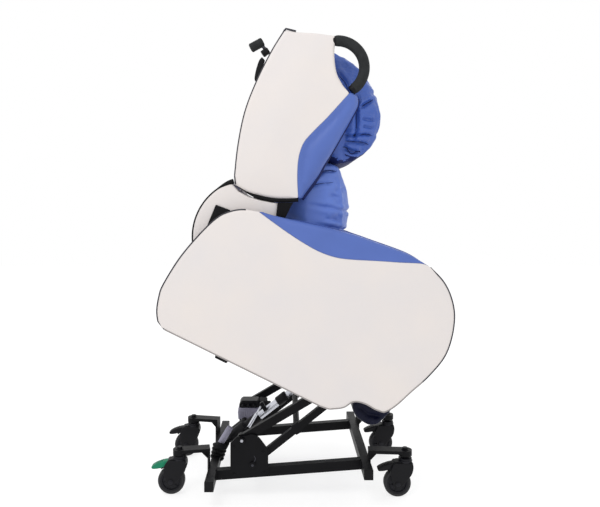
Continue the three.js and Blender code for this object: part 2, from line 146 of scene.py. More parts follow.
def beside(seam, low, more, start, run):
    """A width for a board: low on the seam, growing by more from start on over run."""
    return lambda p: low + more * smoothstep((to_line(p, seam)[0] - start) / run)


def between(seam, far, most, share):
    """A width for a board that fills the room between a seam and its far edge."""
    def width(p):
        gap, room = to_line(p, seam)[0], to_line(p, far)[0]
        return 2.5 + np.minimum(most, (gap + room) * share) * smoothstep((gap - 3) / 14)
    return width


# ---- meshes -------------------------------------------------------------------------
def placed(name, data):
    obj = bpy.data.objects.new(name, data)
    scene.collection.objects.link(obj)
    return obj


def make(name, verts, faces, material):
    mesh = bpy.data.meshes.new(name)
    mesh.from_pydata([tuple(v) for v in verts], [], [tuple(f) for f in faces])
    bm = bmesh.new()
    bm.from_mesh(mesh)
    bmesh.ops.recalc_face_normals(bm, faces=bm.faces)
    bm.to_mesh(mesh)
    bm.free()
    mesh.materials.append(material)
    mesh.polygons.foreach_set("use_smooth", [True] * len(mesh.polygons))
    return placed(name, mesh)


def bevel(obj, width, segments=2):
    """Rounded edges."""
    m = obj.modifiers.new("edges", "BEVEL")
    m.width = width / 1000
    m.segments = segments
    m.limit_method = "ANGLE"
    m.angle_limit = math.radians(32)


def sharp(obj, angle):
    """Smooth shading with edges kept sharp above an angle in degrees."""
    mesh = obj.data
    mesh.polygons.foreach_set("use_smooth", [True] * len(mesh.polygons))
    mesh.set_sharp_from_angle(angle=math.radians(angle))
    return obj


def board(name, place, outline, face, back, material, rim=8.0, drop=None, back_rim=4.0,
          crown=0.0, grid=16.0, step=7.0, reach=90.0, extra=None):
    """A padded board with a rounded rim. face and back are its y; rim, how wide the rounding
    is, and drop, how deep it goes, may be functions of the points. crown bulges the face over
    reach from the rim, and extra adds to it."""
    def sized(value, points):
        return value(points) if callable(value) else np.full(len(points), float(value))

    def rounding(width):
        t = np.clip(d / np.maximum(width, 1e-6), 0, 1)
        return 1 - np.sqrt(np.clip(1 - (1 - t) ** 2, 0, 1))

    ring0 = resample(outline, step, closed=True)
    nxt = np.roll(ring0, -1, axis=0)
    if np.sum(ring0[:, 0] * nxt[:, 1] - nxt[:, 0] * ring0[:, 1]) < 0:
        ring0 = ring0[::-1]
    along = np.roll(ring0, -1, axis=0) - np.roll(ring0, 1, axis=0)
    inward = np.column_stack([-along[:, 1], along[:, 0]])
    inward /= np.maximum(np.linalg.norm(inward, axis=1), 1e-9)[:, None]
    wide = sized(rim, ring0)
    points = [ring0]
    for share in (0.08, 0.25, 0.5, 0.78, 1.05):
        offset = wide * share
        ring = ring0 + inward * offset[:, None]
        gap, _ = to_line(ring, ring0, closed=True)
        points.append(ring[(gap > offset * 0.93 - 0.01) & inside(ring, ring0)])
    low, high = ring0.min(0), ring0.max(0)
    gx, gz = np.meshgrid(np.arange(low[0], high[0], grid), np.arange(low[1], high[1], grid * 0.87))
    gx[1::2] += grid / 2
    middle = np.column_stack([gx.ravel(), gz.ravel()])
    middle = middle[inside(middle, ring0)]
    gap, nearest = to_line(middle, ring0, closed=True)
    points.append(middle[gap > wide[nearest] * 1.05 + grid * 0.45])
    n0 = len(ring0)
    edges = [(i, (i + 1) % n0) for i in range(n0)]
    co, _, faces, _, _, _ = delaunay_2d_cdt(
        [Vector(q) for q in np.vstack(points)], edges, [], 1, 1e-3)
    p = np.array([tuple(q) for q in co])
    d, _ = to_line(p, ring0, closed=True)
    wide = sized(rim, p)
    out = 1 if face > back else -1
    thick = abs(face - back)
    deep = np.minimum(wide, thick * 0.6) if drop is None else sized(drop, p)
    outer = -deep * rounding(wide) + crown * smoothstep((d - wide * 0.4) / reach)
    if extra is not None:
        outer += extra(p, d)
    inner = np.minimum(back_rim * 0.7, thick * 0.45) * rounding(back_rim)
    outer = np.maximum(thick + outer, inner + 1.0)
    verts = [place(x, back + out * y, z) for (x, z), y in zip(p, outer)]
    verts += [place(x, back + out * y, z) for (x, z), y in zip(p, inner)]
    n = len(p)
    skin = [tuple(f) for f in faces] + [tuple(i + n for i in reversed(f)) for f in faces]
    border = {(a, b) for f in faces for a, b in zip(f, list(f[1:]) + [f[0]])}
    skin += [(b, a, a + n, b + n) for a, b in border if (b, a) not in border]
    return make(name, verts, skin, material)


def circle(sides):
    turns = [2 * math.pi * k / sides for k in range(sides)]
    return [(math.cos(a), math.sin(a)) for a in turns]


def loft(rows, sides, closed=False):
    """Faces that join rows of points, with a cap on either end unless the rows close up."""
    faces = []
    for i in range(rows if closed else rows - 1):
        a, b = i * sides, (i + 1) % rows * sides
        faces += [(a + k, a + (k + 1) % sides, b + (k + 1) % sides, b + k) for k in range(sides)]
    if not closed:
        faces += [range(sides)[::-1], range((rows - 1) * sides, rows * sides)]
    return faces


def tube(name, path, radius, material, sides=8):
    """A round tube along 3-D points in metres; radius is a number or one per point."""
    p = [Vector(q) for q in path]
    n = len(p)
    r = [radius] * n if isinstance(radius, (int, float)) else radius
    tangents = [(p[min(i + 1, n - 1)] - p[max(i - 1, 0)]).normalized() for i in range(n)]
    up = Vector((0, 1, 0)) if abs(tangents[0].y) < 0.9 else Vector((1, 0, 0))
    u = (up - tangents[0] * up.dot(tangents[0])).normalized()
    verts = []
    for at, along, size in zip(p, tangents, r):
        u = (u - along * u.dot(along)).normalized()
        v = along.cross(u)
        verts += [at + (u * c + v * s) * (size / 1000) for c, s in circle(sides)]
    return make(name, verts, loft(n, sides), material)


CORE = 0.1  # where a solid turned piece's faces stop, so that no face has zero width


def lathe(name, profile, at, axis, material, sides=32, closed=False):
    """A turned piece. profile is (radius, height), at in metres, axis a direction. An open
    profile is run in to the axis; a closed one makes a ring."""
    if not closed and profile[0][0] > CORE:
        profile = [(CORE, profile[0][1])] + profile
    if not closed and profile[-1][0] > CORE:
        profile = profile + [(CORE, profile[-1][1])]
    z = Vector(axis).normalized()
    x = (Vector((0, 0, 1)) if abs(z.z) < 0.9 else Vector((1, 0, 0))).cross(z).normalized()
    y = z.cross(x)
    at = Vector(at)
    turns = circle(sides)
    verts = [at + ((x * c + y * s) * r + z * h) / 1000 for r, h in profile for c, s in turns]
    return sharp(make(name, verts, loft(len(profile), sides, closed), material), 40)


def prism(name, place, outline, y0, y1, material, edge=1.0, segments=2):
    """A flat plate cut to an outline, from y0 to y1."""
    n = len(outline)
    verts = [place(x, y, z) for y in (y0, y1) for x, z in outline]
    faces = [range(n), range(2 * n - 1, n - 1, -1)]
    faces += [(i, (i + 1) % n, (i + 1) % n + n, i + n) for i in range(n)]
    obj = sharp(make(name, verts, faces, material), 30)
    bevel(obj, edge, segments)
    return obj


def shell(name, rows, columns, outer, inner, material):
    """A curved sheet with thickness. outer and inner give a point from t, 0 to 1 down the
    sheet, and u, -1 to 1 across it."""
    verts = [face(i / rows, -1 + 2 * k / columns) for face in (outer, inner)
             for i in range(rows + 1) for k in range(columns + 1)]
    wide, per = columns + 1, (rows + 1) * (columns + 1)
    faces = []
    for q in (i * wide + k for i in range(rows) for k in range(columns)):
        quad = (q, q + 1, q + wide + 1, q + wide)
        faces += [quad, tuple(v + per for v in reversed(quad))]
    loop = (list(range(wide)) + [i * wide + columns for i in range(1, rows + 1)]
            + [rows * wide + k for k in range(columns - 1, -1, -1)]
            + [i * wide for i in range(rows - 1, 0, -1)])
    faces += [(b, a, a + per, b + per) for a, b in zip(loop, loop[1:] + loop[:1])]
    return make(name, verts, faces, material)


def evaluated(obj):
    """A new mesh: the object's own with its modifiers applied."""
    depsgraph = bpy.context.evaluated_depsgraph_get()
    return bpy.data.meshes.new_from_object(obj.evaluated_get(depsgraph), depsgraph=depsgraph)


def merge(name, objs):
    """Several meshes of one material as one piece, with their modifiers applied."""
    bm = bmesh.new()
    for mesh in [evaluated(o) for o in objs]:
        bm.from_mesh(mesh)
        bpy.data.meshes.remove(mesh)
    out = bpy.data.meshes.new(name)
    bm.to_mesh(out)
    bm.free()
    out.materials.append(objs[0].data.materials[0])
    for o in objs:
        bpy.data.objects.remove(o)
    return placed(name, out)


def add(obj, body, *nodes, slot=None, fill=None):
    """Fixes a piece to a body in place of CAD nodes, which it hides. slot and fill are not used."""
    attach(obj, body)
    if nodes:
        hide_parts(*nodes)


# ---- materials ----------------------------------------------------------------------
def tone(color, gain):
    """An 8-bit sRGB colour made linear, times a gain."""
    linear = (((c / 255 + 0.055) / 1.055) ** 2.4 if c > 10 else c / 255 / 12.92 for c in color)
    return tuple(min(1.0, c * gain) for c in linear) + (1.0,)


class Nodes:
    """Small helper to wire a node material."""

    def __init__(self, name):
        self.mat = bpy.data.materials.new(name)
        self.mat.use_nodes = True
        self.tree = self.mat.node_tree
        self.shader = self.tree.nodes["Principled BSDF"]
        self.where = self.tree.nodes.new("ShaderNodeTexCoord").outputs["Object"]
        self.normal = None

    def node(self, kind, **values):
        n = self.tree.nodes.new(kind)
        for key, value in values.items():
            n.inputs[key].default_value = value
        return n

    def link(self, a, b):
        self.tree.links.new(a, b)

    def noise(self, scale, detail=3, stretch=None):
        n = self.node("ShaderNodeTexNoise", Scale=scale, Detail=detail, Roughness=0.55)
        where = self.where
        if stretch:
            m = self.node("ShaderNodeMapping", Scale=stretch)
            self.link(where, m.inputs["Vector"])
            where = m.outputs["Vector"]
        self.link(where, n.inputs["Vector"])
        return n.outputs["Fac"]

    def cells(self, scale):
        n = self.node("ShaderNodeTexVoronoi", Scale=scale)
        self.link(self.where, n.inputs["Vector"])
        return n.outputs["Distance"]

    def paint(self, value, low, high, start=0.3, end=0.7):
        n = self.node("ShaderNodeValToRGB")
        for stop, position, color in zip(n.color_ramp.elements, (start, end), (low, high)):
            stop.position = position
            stop.color = color
        self.link(value, n.inputs["Fac"])
        self.link(n.outputs["Color"], self.shader.inputs["Base Color"])

    def matte(self, value, low, high):
        n = self.node("ShaderNodeMapRange")
        n.inputs["To Min"].default_value = low
        n.inputs["To Max"].default_value = high
        self.link(value, n.inputs["Value"])
        self.link(n.outputs["Result"], self.shader.inputs["Roughness"])

    def bump(self, height, distance, strength=1.0):
        n = self.node("ShaderNodeBump", Strength=strength, Distance=distance)
        self.link(height, n.inputs["Height"])
        if self.normal is not None:
            self.link(self.normal, n.inputs["Normal"])
        self.normal = n.outputs["Normal"]
        self.link(self.normal, self.shader.inputs["Normal"])

    def set(self, **values):
        for key, value in values.items():
            self.shader.inputs[key.replace("_", " ")].default_value = value


def vinyl(name, color, rough=0.46, grain=1.0, shift=0.06, tint=None, specular=0.42, crinkle=0):
    """Wipe-clean upholstery vinyl: fine pebble grain, faint mottling, satin."""
    n = Nodes(name)
    n.paint(n.noise(5.0, 4), tone(color, 1 - shift), tone(tint or color, 1 + shift))
    n.matte(n.noise(38.0, 3), rough - 0.06, rough + 0.08)
    n.bump(n.cells(720.0), 0.00022 * grain, 0.55)
    n.bump(n.noise(260.0, 4), 0.00025 * grain, 0.5)
    n.bump(n.noise(22.0, 2), 0.0011, 0.3)
    if crinkle:
        n.bump(n.noise(15.0, 3, (1, 1, 1.6)), crinkle, 0.8)
    n.set(Specular_IOR_Level=specular)
    return n.mat


def coated_steel(name, color, rough=0.42, worn=0.10):
    """Powder coat: orange-peel bump, slight dust on the roughness."""
    n = Nodes(name)
    n.paint(n.noise(14.0, 5), tone(color, 0.85), tone(color, 1.0 + worn * 4), 0.35, 0.75)
    n.matte(n.noise(60.0, 4), rough - 0.08, rough + 0.14)
    n.bump(n.noise(900.0, 2), 0.00012, 0.6)
    n.bump(n.noise(90.0, 3), 0.0002, 0.35)
    n.set(Specular_IOR_Level=0.12)
    return n.mat


def bright_metal(name, color, rough=0.3, stretch=(1, 1, 1)):
    """Plated or drawn metal, with scratches that may run one way."""
    n = Nodes(name)
    n.paint(n.noise(30.0, 4), tone(color, 0.86), tone(color, 1.1))
    n.matte(n.noise(160.0, 4, stretch), rough - 0.1, rough + 0.14)
    n.bump(n.noise(420.0, 3, stretch), 0.00008, 0.6)
    n.set(Metallic=0.92)
    return n.mat


def moulded(name, color, rough=0.5, grain=1.0):
    """Moulded plastic or rubber with a fine spark texture."""
    n = Nodes(name)
    n.paint(n.noise(20.0, 4), tone(color, 0.88), tone(color, 1.14))
    n.matte(n.noise(75.0, 3), rough - 0.07, rough + 0.1)
    n.bump(n.noise(1400.0, 2), 0.0001 * grain, 0.6)
    n.set(Specular_IOR_Level=0.18)
    return n.mat


def foam(name, color):
    """Closed-cell grip foam: tiny pits, matte."""
    n = Nodes(name)
    n.paint(n.noise(60.0, 4), tone(color, 0.8), tone(color, 1.2))
    n.set(Roughness=0.86, Specular_IOR_Level=0.25)
    n.bump(n.cells(1500.0), 0.00025, 0.8)
    n.bump(n.noise(120.0, 3), 0.0004, 0.4)
    return n.mat


def tyre_rubber(name, color):
    n = Nodes(name)
    n.paint(n.noise(45.0, 5), tone(color, 0.8), tone(color, 1.35), 0.3, 0.8)
    n.matte(n.noise(40.0, 4), 0.55, 0.8)
    n.bump(n.noise(700.0, 3), 0.00015, 0.6)
    return n.mat


def plywood(name, color):
    n = Nodes(name)
    n.paint(n.noise(24.0, 6, (0.25, 2.5, 6)), tone(color, 0.7), tone(color, 1.15))
    n.set(Roughness=0.72)
    n.bump(n.noise(180.0, 4, (0.2, 2, 4)), 0.0003, 0.6)
    return n.mat


def paper(name, grey, glow):
    """The white ground: nearly a light of its own, so that it stays pale under the chair."""
    n = Nodes(name)
    n.set(Base_Color=(grey, grey, grey, 1), Roughness=0.95, Specular_IOR_Level=0.0,
          Emission_Color=(1, 1, 1, 1), Emission_Strength=glow)
    return n.mat


WHITE = vinyl("white_vinyl", (216, 211, 210), 0.5, 0.8, 0.02, (217, 210, 206))
BLUE = vinyl("blue_vinyl", (76, 101, 172), 0.44, 1.0, 0.07)
# The lumbar cushion's blue vinyl, made lighter than the arm's to make up for the wing's shade on
# it: painted light.
LIT_LUMBAR_BLUE = vinyl("lumbar_lit_vinyl", (86, 114, 190), 0.44, 1.0, 0.07)
# The head cushion's blue vinyl, darker than the arm's for the shade that lies on it: painted shade.
# The crinkle is a bump.
SHADED_CRINKLED = vinyl("crinkled_shaded_vinyl", (60, 90, 168), 0.34, 1.3, 0.12, crinkle=0.012)
# Dark blue for the head cushion's lower faces, the lines down the back cushions' folds and the wing
# pads' front welts: mostly painted shade, with real seams and welts in places.
SHADE_AND_SEAM_BLUE = vinyl("shade_and_seam_blue_vinyl", (24, 34, 84), 0.6, 1.0, 0.12, specular=0.2)
# The legrest's blue vinyl, made nearly black for the shade it hangs in behind the side panels:
# painted shade.
SHADED_LEG_BLUE = vinyl("navy_vinyl", (10, 13, 36), 0.42, 1.0, 0.25, specular=0.14)
THREAD = moulded("blue_welt", (62, 84, 152), 0.6)
STEEL = coated_steel("black_steel", (8, 8, 11), 0.42)
ZINC = bright_metal("zinc_metal", (176, 177, 184), 0.34)
SILVER = bright_metal("satin_tube", (206, 208, 216), 0.22, (1, 1, 6))
# A grey finish made about three times lighter than the real grey, to make up for the shade under
# the seat: painted light.
LIGHTENED_GREY = coated_steel("grey_cast_lightened", (150, 148, 165), 0.46, 0.05)
DARK_ZINC = bright_metal("dark_zinc", (66, 66, 72), 0.4)
PLASTIC = moulded("black_plastic", (11, 11, 15), 0.46)
SOFTBLACK = moulded("black_rubber", (15, 15, 17), 0.7, 2.0)
FOAM = foam("foam_grip", (38, 40, 41))
TYRE = tyre_rubber("castor_tyre", (17, 17, 21))
HUB = moulded("castor_hub", (24, 24, 29), 0.4)
GREEN = moulded("green_plastic", (22, 116, 85), 0.4)
PIPING = moulded("edge_piping", (58, 58, 64), 0.5)
PALE_PIPING = moulded("pale_piping", (150, 145, 144), 0.5)
BOARD = plywood("plywood", (176, 140, 96))
FLOOR = paper("floor_paper", 0.36, 0.74)

# ---- the outlines that are shared ---------------------------------------------------
PANEL_BOTTOM = [(-643, -43), (-36, -45)] + spline(
    [(-2, -41), (40, -14), (61, 18), (97, 30), (140, 28)])
PANEL_NOSE = spline([(140, 28), (170, 31), (198, 69), (226, 138), (254, 206), (275, 289),
                     (270, 360), (246, 434), (208, 487), (160, 525), (98, 549)])[4:]
ARM_SEAM = spline([(98, 549), (67, 549), (-7, 518), (-83, 487), (-159, 455), (-211, 438),
                   (-269, 431), (-331, 434), (-395, 442), (-461, 453), (-515, 463)])
PANEL_REAR = spline([(-515, 463), (-566, 447), (-604, 421), (-636, 381), (-665, 304),
                     (-691, 200), (-702, 93), (-697, 50), (-683, 5), (-664, -27)])
ARM_TOP = spline([(98, 549), (67, 552), (5, 557), (-112, 545), (-220, 530), (-453, 476),
                  (-506, 467)])
BACK_REAR = spline([(121, 733), (74, 657), (20, 549), (-21, 441), (-45, 324), (-57, 217)])
BACK_BOTTOM = spline([(-52, 183), (-11, 160), (33, 147), (79, 138), (123, 136), (168, 138)])
WING_SEAM = spline([(168, 138), (165, 203), (167, 261), (175, 302), (191, 338), (227, 378),
                    (272, 423), (348, 507)])
WING_FRONT = spline([(348, 507), (321, 545), (303, 585), (296, 648), (301, 711)])
PANEL_FACE, PANEL_BACK = 368, 327  # the panel's two faces, from the middle of the chair
ARM_IN = 262
WING_FACE, WING_BACK = 308, 274
SEAT_HALF, LEG_HALF, CUSHION_HALF = 241, 230, 218
FOLD_Y = 221  # just outside the ends of the back cushions
SKIRT_R = 208.0


# ---- soft pieces --------------------------------------------------------------------
def read(obj, what="co"):
    values = np.zeros(len(obj.data.vertices) * 3)
    obj.data.vertices.foreach_get(what, values)
    return values.reshape(-1, 3)


def put(obj, co):
    obj.data.vertices.foreach_set("co", co.ravel())
    obj.data.update()


def swell(obj, push):
    """Moves each point out along its normal, by its own push."""
    put(obj, read(obj) + read(obj, "normal") * push[:, None] / 1000)


def applied(obj):
    """Applies the modifiers of an object to its mesh."""
    mesh = evaluated(obj)
    old = obj.data
    mesh.name = old.name
    obj.modifiers.clear()
    obj.data = mesh
    bpy.data.meshes.remove(old)
    mesh.polygons.foreach_set("use_smooth", [True] * len(mesh.polygons))


def remesh(obj, voxel, smooths=4):
    m = obj.modifiers.new("voxels", "REMESH")
    m.mode = "VOXEL"
    m.voxel_size = voxel / 1000
    m.use_smooth_shade = True
    s = obj.modifiers.new("ease", "SMOOTH")
    s.factor = 0.5
    s.iterations = smooths
    applied(obj)


def near(co, line):
    """Distance in mm of each point from a 3-D line in metres, and how far along it is."""
    a = np.array(line[:-1], float)
    d = np.array(line[1:], float) - a
    length = np.maximum((d ** 2).sum(1), 1e-12)
    best = np.full(len(co), 1e9)
    run = np.zeros(len(co))
    start = np.concatenate([[0], np.cumsum(np.sqrt(length))])
    for i in range(len(a)):
        t = np.clip(((co - a[i]) @ d[i]) / length[i], 0, 1)
        gap = np.linalg.norm(co - (a[i] + t[:, None] * d[i]), axis=1)
        closer = gap < best
        best[closer] = gap[closer]
        run[closer] = start[i] + t[closer] * math.sqrt(length[i])
    return best * 1000, run * 1000


CLOTH = {"quality": 5, "mass": 0.35, "tension_stiffness": 18, "compression_stiffness": 18,
         "shear_stiffness": 8, "bending_stiffness": 0.6, "use_pressure": True}
FRAMES = 20


def plump(obj, voxel, cap, pressure, seams, hold, grow=0.0):
    """A soft cushion: voxel remesh, a short cloth simulation under pressure, moves capped, held
    down along its seams, then one subdivision."""
    remesh(obj, voxel)
    before = read(obj)
    limit = cap * smoothstep(np.min([near(before, line)[0] for line in seams], axis=0) / hold)
    cloth = obj.modifiers.new("cloth", "CLOTH")
    settings = cloth.settings
    for key, value in CLOTH.items():
        setattr(settings, key, value)
    settings.uniform_pressure_force = pressure
    settings.shrink_min = -grow
    settings.effector_weights.gravity = 0
    cloth.collision_settings.use_self_collision = False
    group = obj.vertex_groups.new(name="seams")
    for i in np.nonzero(limit < cap * 0.02)[0]:
        group.add([int(i)], 1.0, "REPLACE")
    settings.vertex_group_mass = "seams"
    cloth.point_cache.frame_start = 1
    cloth.point_cache.frame_end = FRAMES
    for f in range(1, FRAMES + 1):
        scene.frame_set(f)
        ev = obj.evaluated_get(bpy.context.evaluated_depsgraph_get())
    move = read(ev) - before
    obj.modifiers.clear()
    obj.vertex_groups.clear()
    scene.frame_set(1)
    size = np.linalg.norm(move, axis=1) * 1000
    put(obj, before + move * np.minimum(1, limit / np.maximum(size, 1e-6))[:, None])
    finer = obj.modifiers.new("finer", "SUBSURF")
    finer.levels = 1
    finer.render_levels = 1
    applied(obj)


def settled(obj, line):
    """A line laid on the nearest surface, with its kinks eased."""
    path = []
    for q in resample(line, 0.007):
        hit, at, normal, _ = obj.closest_point_on_mesh(Vector(q))
        if hit:
            path.append(at + normal * 0.0002)
    return [sum(path[max(0, k - 1):k + 2], Vector()) / len(path[max(0, k - 1):k + 2])
            for k in range(len(path))]


def crease(obj, lines, depth, width, puff=0.35):
    """Sewn lines and folds: a valley along each line with a soft roll on either side.
    depth may be one number or one per line."""
    co = read(obj)
    push = np.zeros(len(co))
    depths = [depth] * len(lines) if isinstance(depth, (int, float)) else depth
    for line, deep in zip(lines, depths):
        line = settled(obj, line)
        gap, run = near(co, line)
        total = sum((b - a).length for a, b in zip(line, line[1:])) * 1000
        fade = smoothstep(np.minimum(run, total - run) / (total * 0.22) + 0.15)
        push -= deep * np.exp(-(gap / width) ** 2) * fade
        push += deep * puff * np.exp(-((gap - 2.6 * width) / (1.5 * width)) ** 2) * fade
    swell(obj, push)


def pucker(obj, lines, depth, spread, pitch, seed=0.0):
    """Short gathers that run away from each seam."""
    for i, line in enumerate(lines):
        phase = i + seed
        gap, run = near(read(obj), line)
        wave = np.sin(run * 2 * math.pi / pitch + 2.2 * np.sin(run / 37.0 + phase) + gap * 0.045)
        wave += 0.5 * np.sin(run * 2 * math.pi / (pitch * 0.61) + phase * 3)
        fade = np.exp(-(gap / spread) ** 1.5) * smoothstep(gap / 7.0)
        swell(obj, depth * wave * fade)


def ripple(obj, size, scale, seed):
    """Slow unevenness of stuffed vinyl."""
    p = read(obj) * scale + seed
    wave = (np.sin(p[:, 0] * 2.1 + 1.3 * np.sin(p[:, 2] * 1.7 + p[:, 1]))
            * np.sin(p[:, 2] * 2.4 + 1.1 * np.sin(p[:, 1] * 1.9 + seed))
            + 0.6 * np.sin(p[:, 1] * 3.1 + p[:, 2] * 1.3 + seed))
    swell(obj, size * wave)


def growing(count, low, more, start, run):
    """Radii along a tube that grow by more from the start-th point on, over run points."""
    return [low + more * float(smoothstep((i - start) / run)) for i in range(count)]


def seam_and_fold_shade(name, obj, lines, radius):
    """A dark line down the bottom of each fold, laid on the finished surface: painted shade in the
    folds, and the stitching where a fold is a seam.
    """
    dark_lines = []
    for line in lines:
        soft = settled(obj, line)
        size = [radius * (0.35 + 0.65 * math.sin(math.pi * (k + 0.5) / len(soft)))
                for k in range(len(soft))]
        dark_lines.append(tube("fold_shade_line", soft, size, SHADE_AND_SEAM_BLUE, 6))
    add(merge(name, dark_lines), "back")


# ---- side panels and arms -----------------------------------------------------------
def side_sag(p, d):
    """The skin over the board is not quite flat."""
    wave = np.sin(p[:, 0] / 118 + 0.6) * np.sin(p[:, 1] / 92) + 0.5 * np.sin(
        p[:, 0] / 61 - p[:, 1] / 83)
    return 0.55 * wave * smoothstep(d / 60)


PANEL = PANEL_BOTTOM + PANEL_NOSE + ARM_SEAM[1:] + PANEL_REAR[1:]
NOSE_TURN = min(range(len(PANEL_NOSE)), key=lambda i: abs(PANEL_NOSE[i][1] - 190)
                if PANEL_NOSE[i][0] > 200 else 999)
PANEL_EDGES = (("rear", PANEL_REAR[6:] + [(-630, -43)], PIPING),
               ("low", [(-629, -43)] + PANEL_BOTTOM[1:] + PANEL_NOSE[:NOSE_TURN], PALE_PIPING),
               ("nose", PANEL_NOSE[NOSE_TURN - 1:], PIPING))
ARM_BAND = ARM_SEAM + ARM_TOP[::-1][:-1]
ARM_FRONT = [q for q in ARM_TOP if q[0] > -405]
ARM_INSIDE = ([(-300, 132), (185, 132)]
              + spline([(185, 132), (205, 180), (228, 289), (222, 360), (200, 430), (168, 480),
                        (130, 520), (98, 548)])[1:]
              + ARM_FRONT[1:] + [(-408, 470)])
ARM_CREASE = [(-330, 300), (-150, 318), (60, 330), (215, 330)]

for word, s in SIDES:
    side = board(f"side_panel_skin_{word}", on_seat, PANEL, s * PANEL_FACE, s * PANEL_BACK, WHITE,
                 rim=beside(ARM_SEAM, 3.0, 7.0, 4, 34), crown=2.4, grid=17, extra=side_sag)
    add(side, "seat", f"side_panel_{word}", fill=0.95)
    for tag, line, paint in PANEL_EDGES:
        edge = [on_seat(x, s * 363, z) for x, z in resample(line, 9)]
        add(tube(f"side_piping_{tag}_{word}", edge, 2.6, paint), "seat")
    band = board(f"arm_band_{word}", on_seat, ARM_BAND, s * 368.5, s * 323, BLUE,
                 rim=between(ARM_SEAM, ARM_TOP, 17.0, 0.45), crown=1.5, grid=12, back_rim=1.0)
    add(band, "seat", f"arm_pad_{word}", fill=0.85)
    inner = board(f"arm_inner_{word}", on_seat, ARM_INSIDE, s * ARM_IN, s * 322.5, BLUE, rim=22,
                  crown=4, grid=16, back_rim=1.0)
    remesh(inner, 6.5, 2)
    crease(inner, [line_at(on_seat, s * ARM_IN, ARM_CREASE)], 4.0, 6.5)
    ripple(inner, 0.5, 9, s)
    add(inner, "seat", f"arm_pad_{word}", fill=0.8)
    edge = [on_seat(x, s * 323, z + 0.6) for x, z in resample(ARM_FRONT, 10)]
    add(tube(f"arm_welt_{word}", edge, 2.2, THREAD), "seat")
    tab = board(f"panel_tab_{word}", on_seat, [(-432, -58), (-388, -58), (-384, -44), (-436, -44)],
                s * 352, s * 340, SOFTBLACK, rim=2, back_rim=2, grid=8, step=4)
    add(tab, "seat", slot="edge_piping")

# ---- seat cushion and legrest -------------------------------------------------------
SEAT_SIDE = [(-330, 133), (140, 133), (146, 150), (146, 236), (134, 258), (108, 265),
             (-280, 263), (-322, 254), (-330, 235)]
cushion = board("seat_cushion_soft", on_seat, SEAT_SIDE, SEAT_HALF, -SEAT_HALF, BLUE, rim=14,
                drop=10, back_rim=14, grid=22, step=10)
seat_seams = [line_at(on_seat, y, [(-322, 252), (-280, 262), (108, 264), (134, 256), (146, 230),
                                   (146, 150)]) for y in (-236, 236)]
front_seam, cross_seam = [[tuple(on_seat(x, y, z)) for y in range(-235, 236, 47)]
                          for x, z in ((139, 250), (-95, 264))]
seat_seams.append(front_seam)
plump(cushion, 7.5, 20, 4, seat_seams, 30)
crease(cushion, [cross_seam], 6, 7)
pucker(cushion, seat_seams, 1.0, 30, 30)
add(cushion, "seat", "seat_cushion", fill=0.75)

LEG_SIDE = spline([(156, 60), (142, 32), (112, 6), (97, -18), (106, -43), (130, -62), (160, -67),
                   (188, -66), (213, -46), (231, 4), (239, 50), (236, 150), (231, 236)]) + [
    (223, 258), (209, 264), (192, 264), (165, 258), (156, 243)]
# The legrest wears the darkened blue: painted shade.
leg = board("legrest_soft", on_seat, LEG_SIDE, LEG_HALF, -LEG_HALF, SHADED_LEG_BLUE, rim=20, drop=16,
            back_rim=20, grid=18, step=9)
leg_seams = [[tuple(on_seat(x, y, z)) for y in range(-220, 221, 44)]
             for x, z in ((239, 50), (236, 150))]
leg_edges = [line_at(on_seat, y, [(223, 256), (231, 236), (239, 60), (231, 6), (212, -42),
                                  (188, -62)]) for y in (-224, 224)]
plump(leg, 7.0, 16, 4, leg_edges, 26)
crease(leg, leg_seams, 6, 7)
pucker(leg, leg_edges, 1.2, 34, 28)
crease(leg, [line_at(on_seat, y, [(112, -14), (160, -30), (215, -16)]) for y in (-231, 231)],
       7, 7, 0.5)
add(leg, "legrest", "legrest_pad", fill=0.7)

# ---- wings --------------------------------------------------------------------------
WING = BACK_REAR + BACK_BOTTOM + WING_SEAM[1:] + WING_FRONT[1:] + [(236, 720), (160, 725)]
WING_INSIDE = spline([(181, 136), (237, 210), (262, 254), (297, 310), (330, 368), (368, 436),
                      (384, 472), (382, 500), (366, 512)])
WING_BLUE = WING_SEAM + WING_INSIDE[::-1]
WING_LINER = [(138, 714), (104, 655), (48, 545), (8, 438), (-16, 322), (-28, 216), (-14, 176),
              (60, 156), (160, 150), (157, 203), (159, 264), (167, 305), (184, 344), (222, 386),
              (266, 430), (338, 508), (312, 544), (294, 583), (287, 648), (290, 704), (234, 712)]

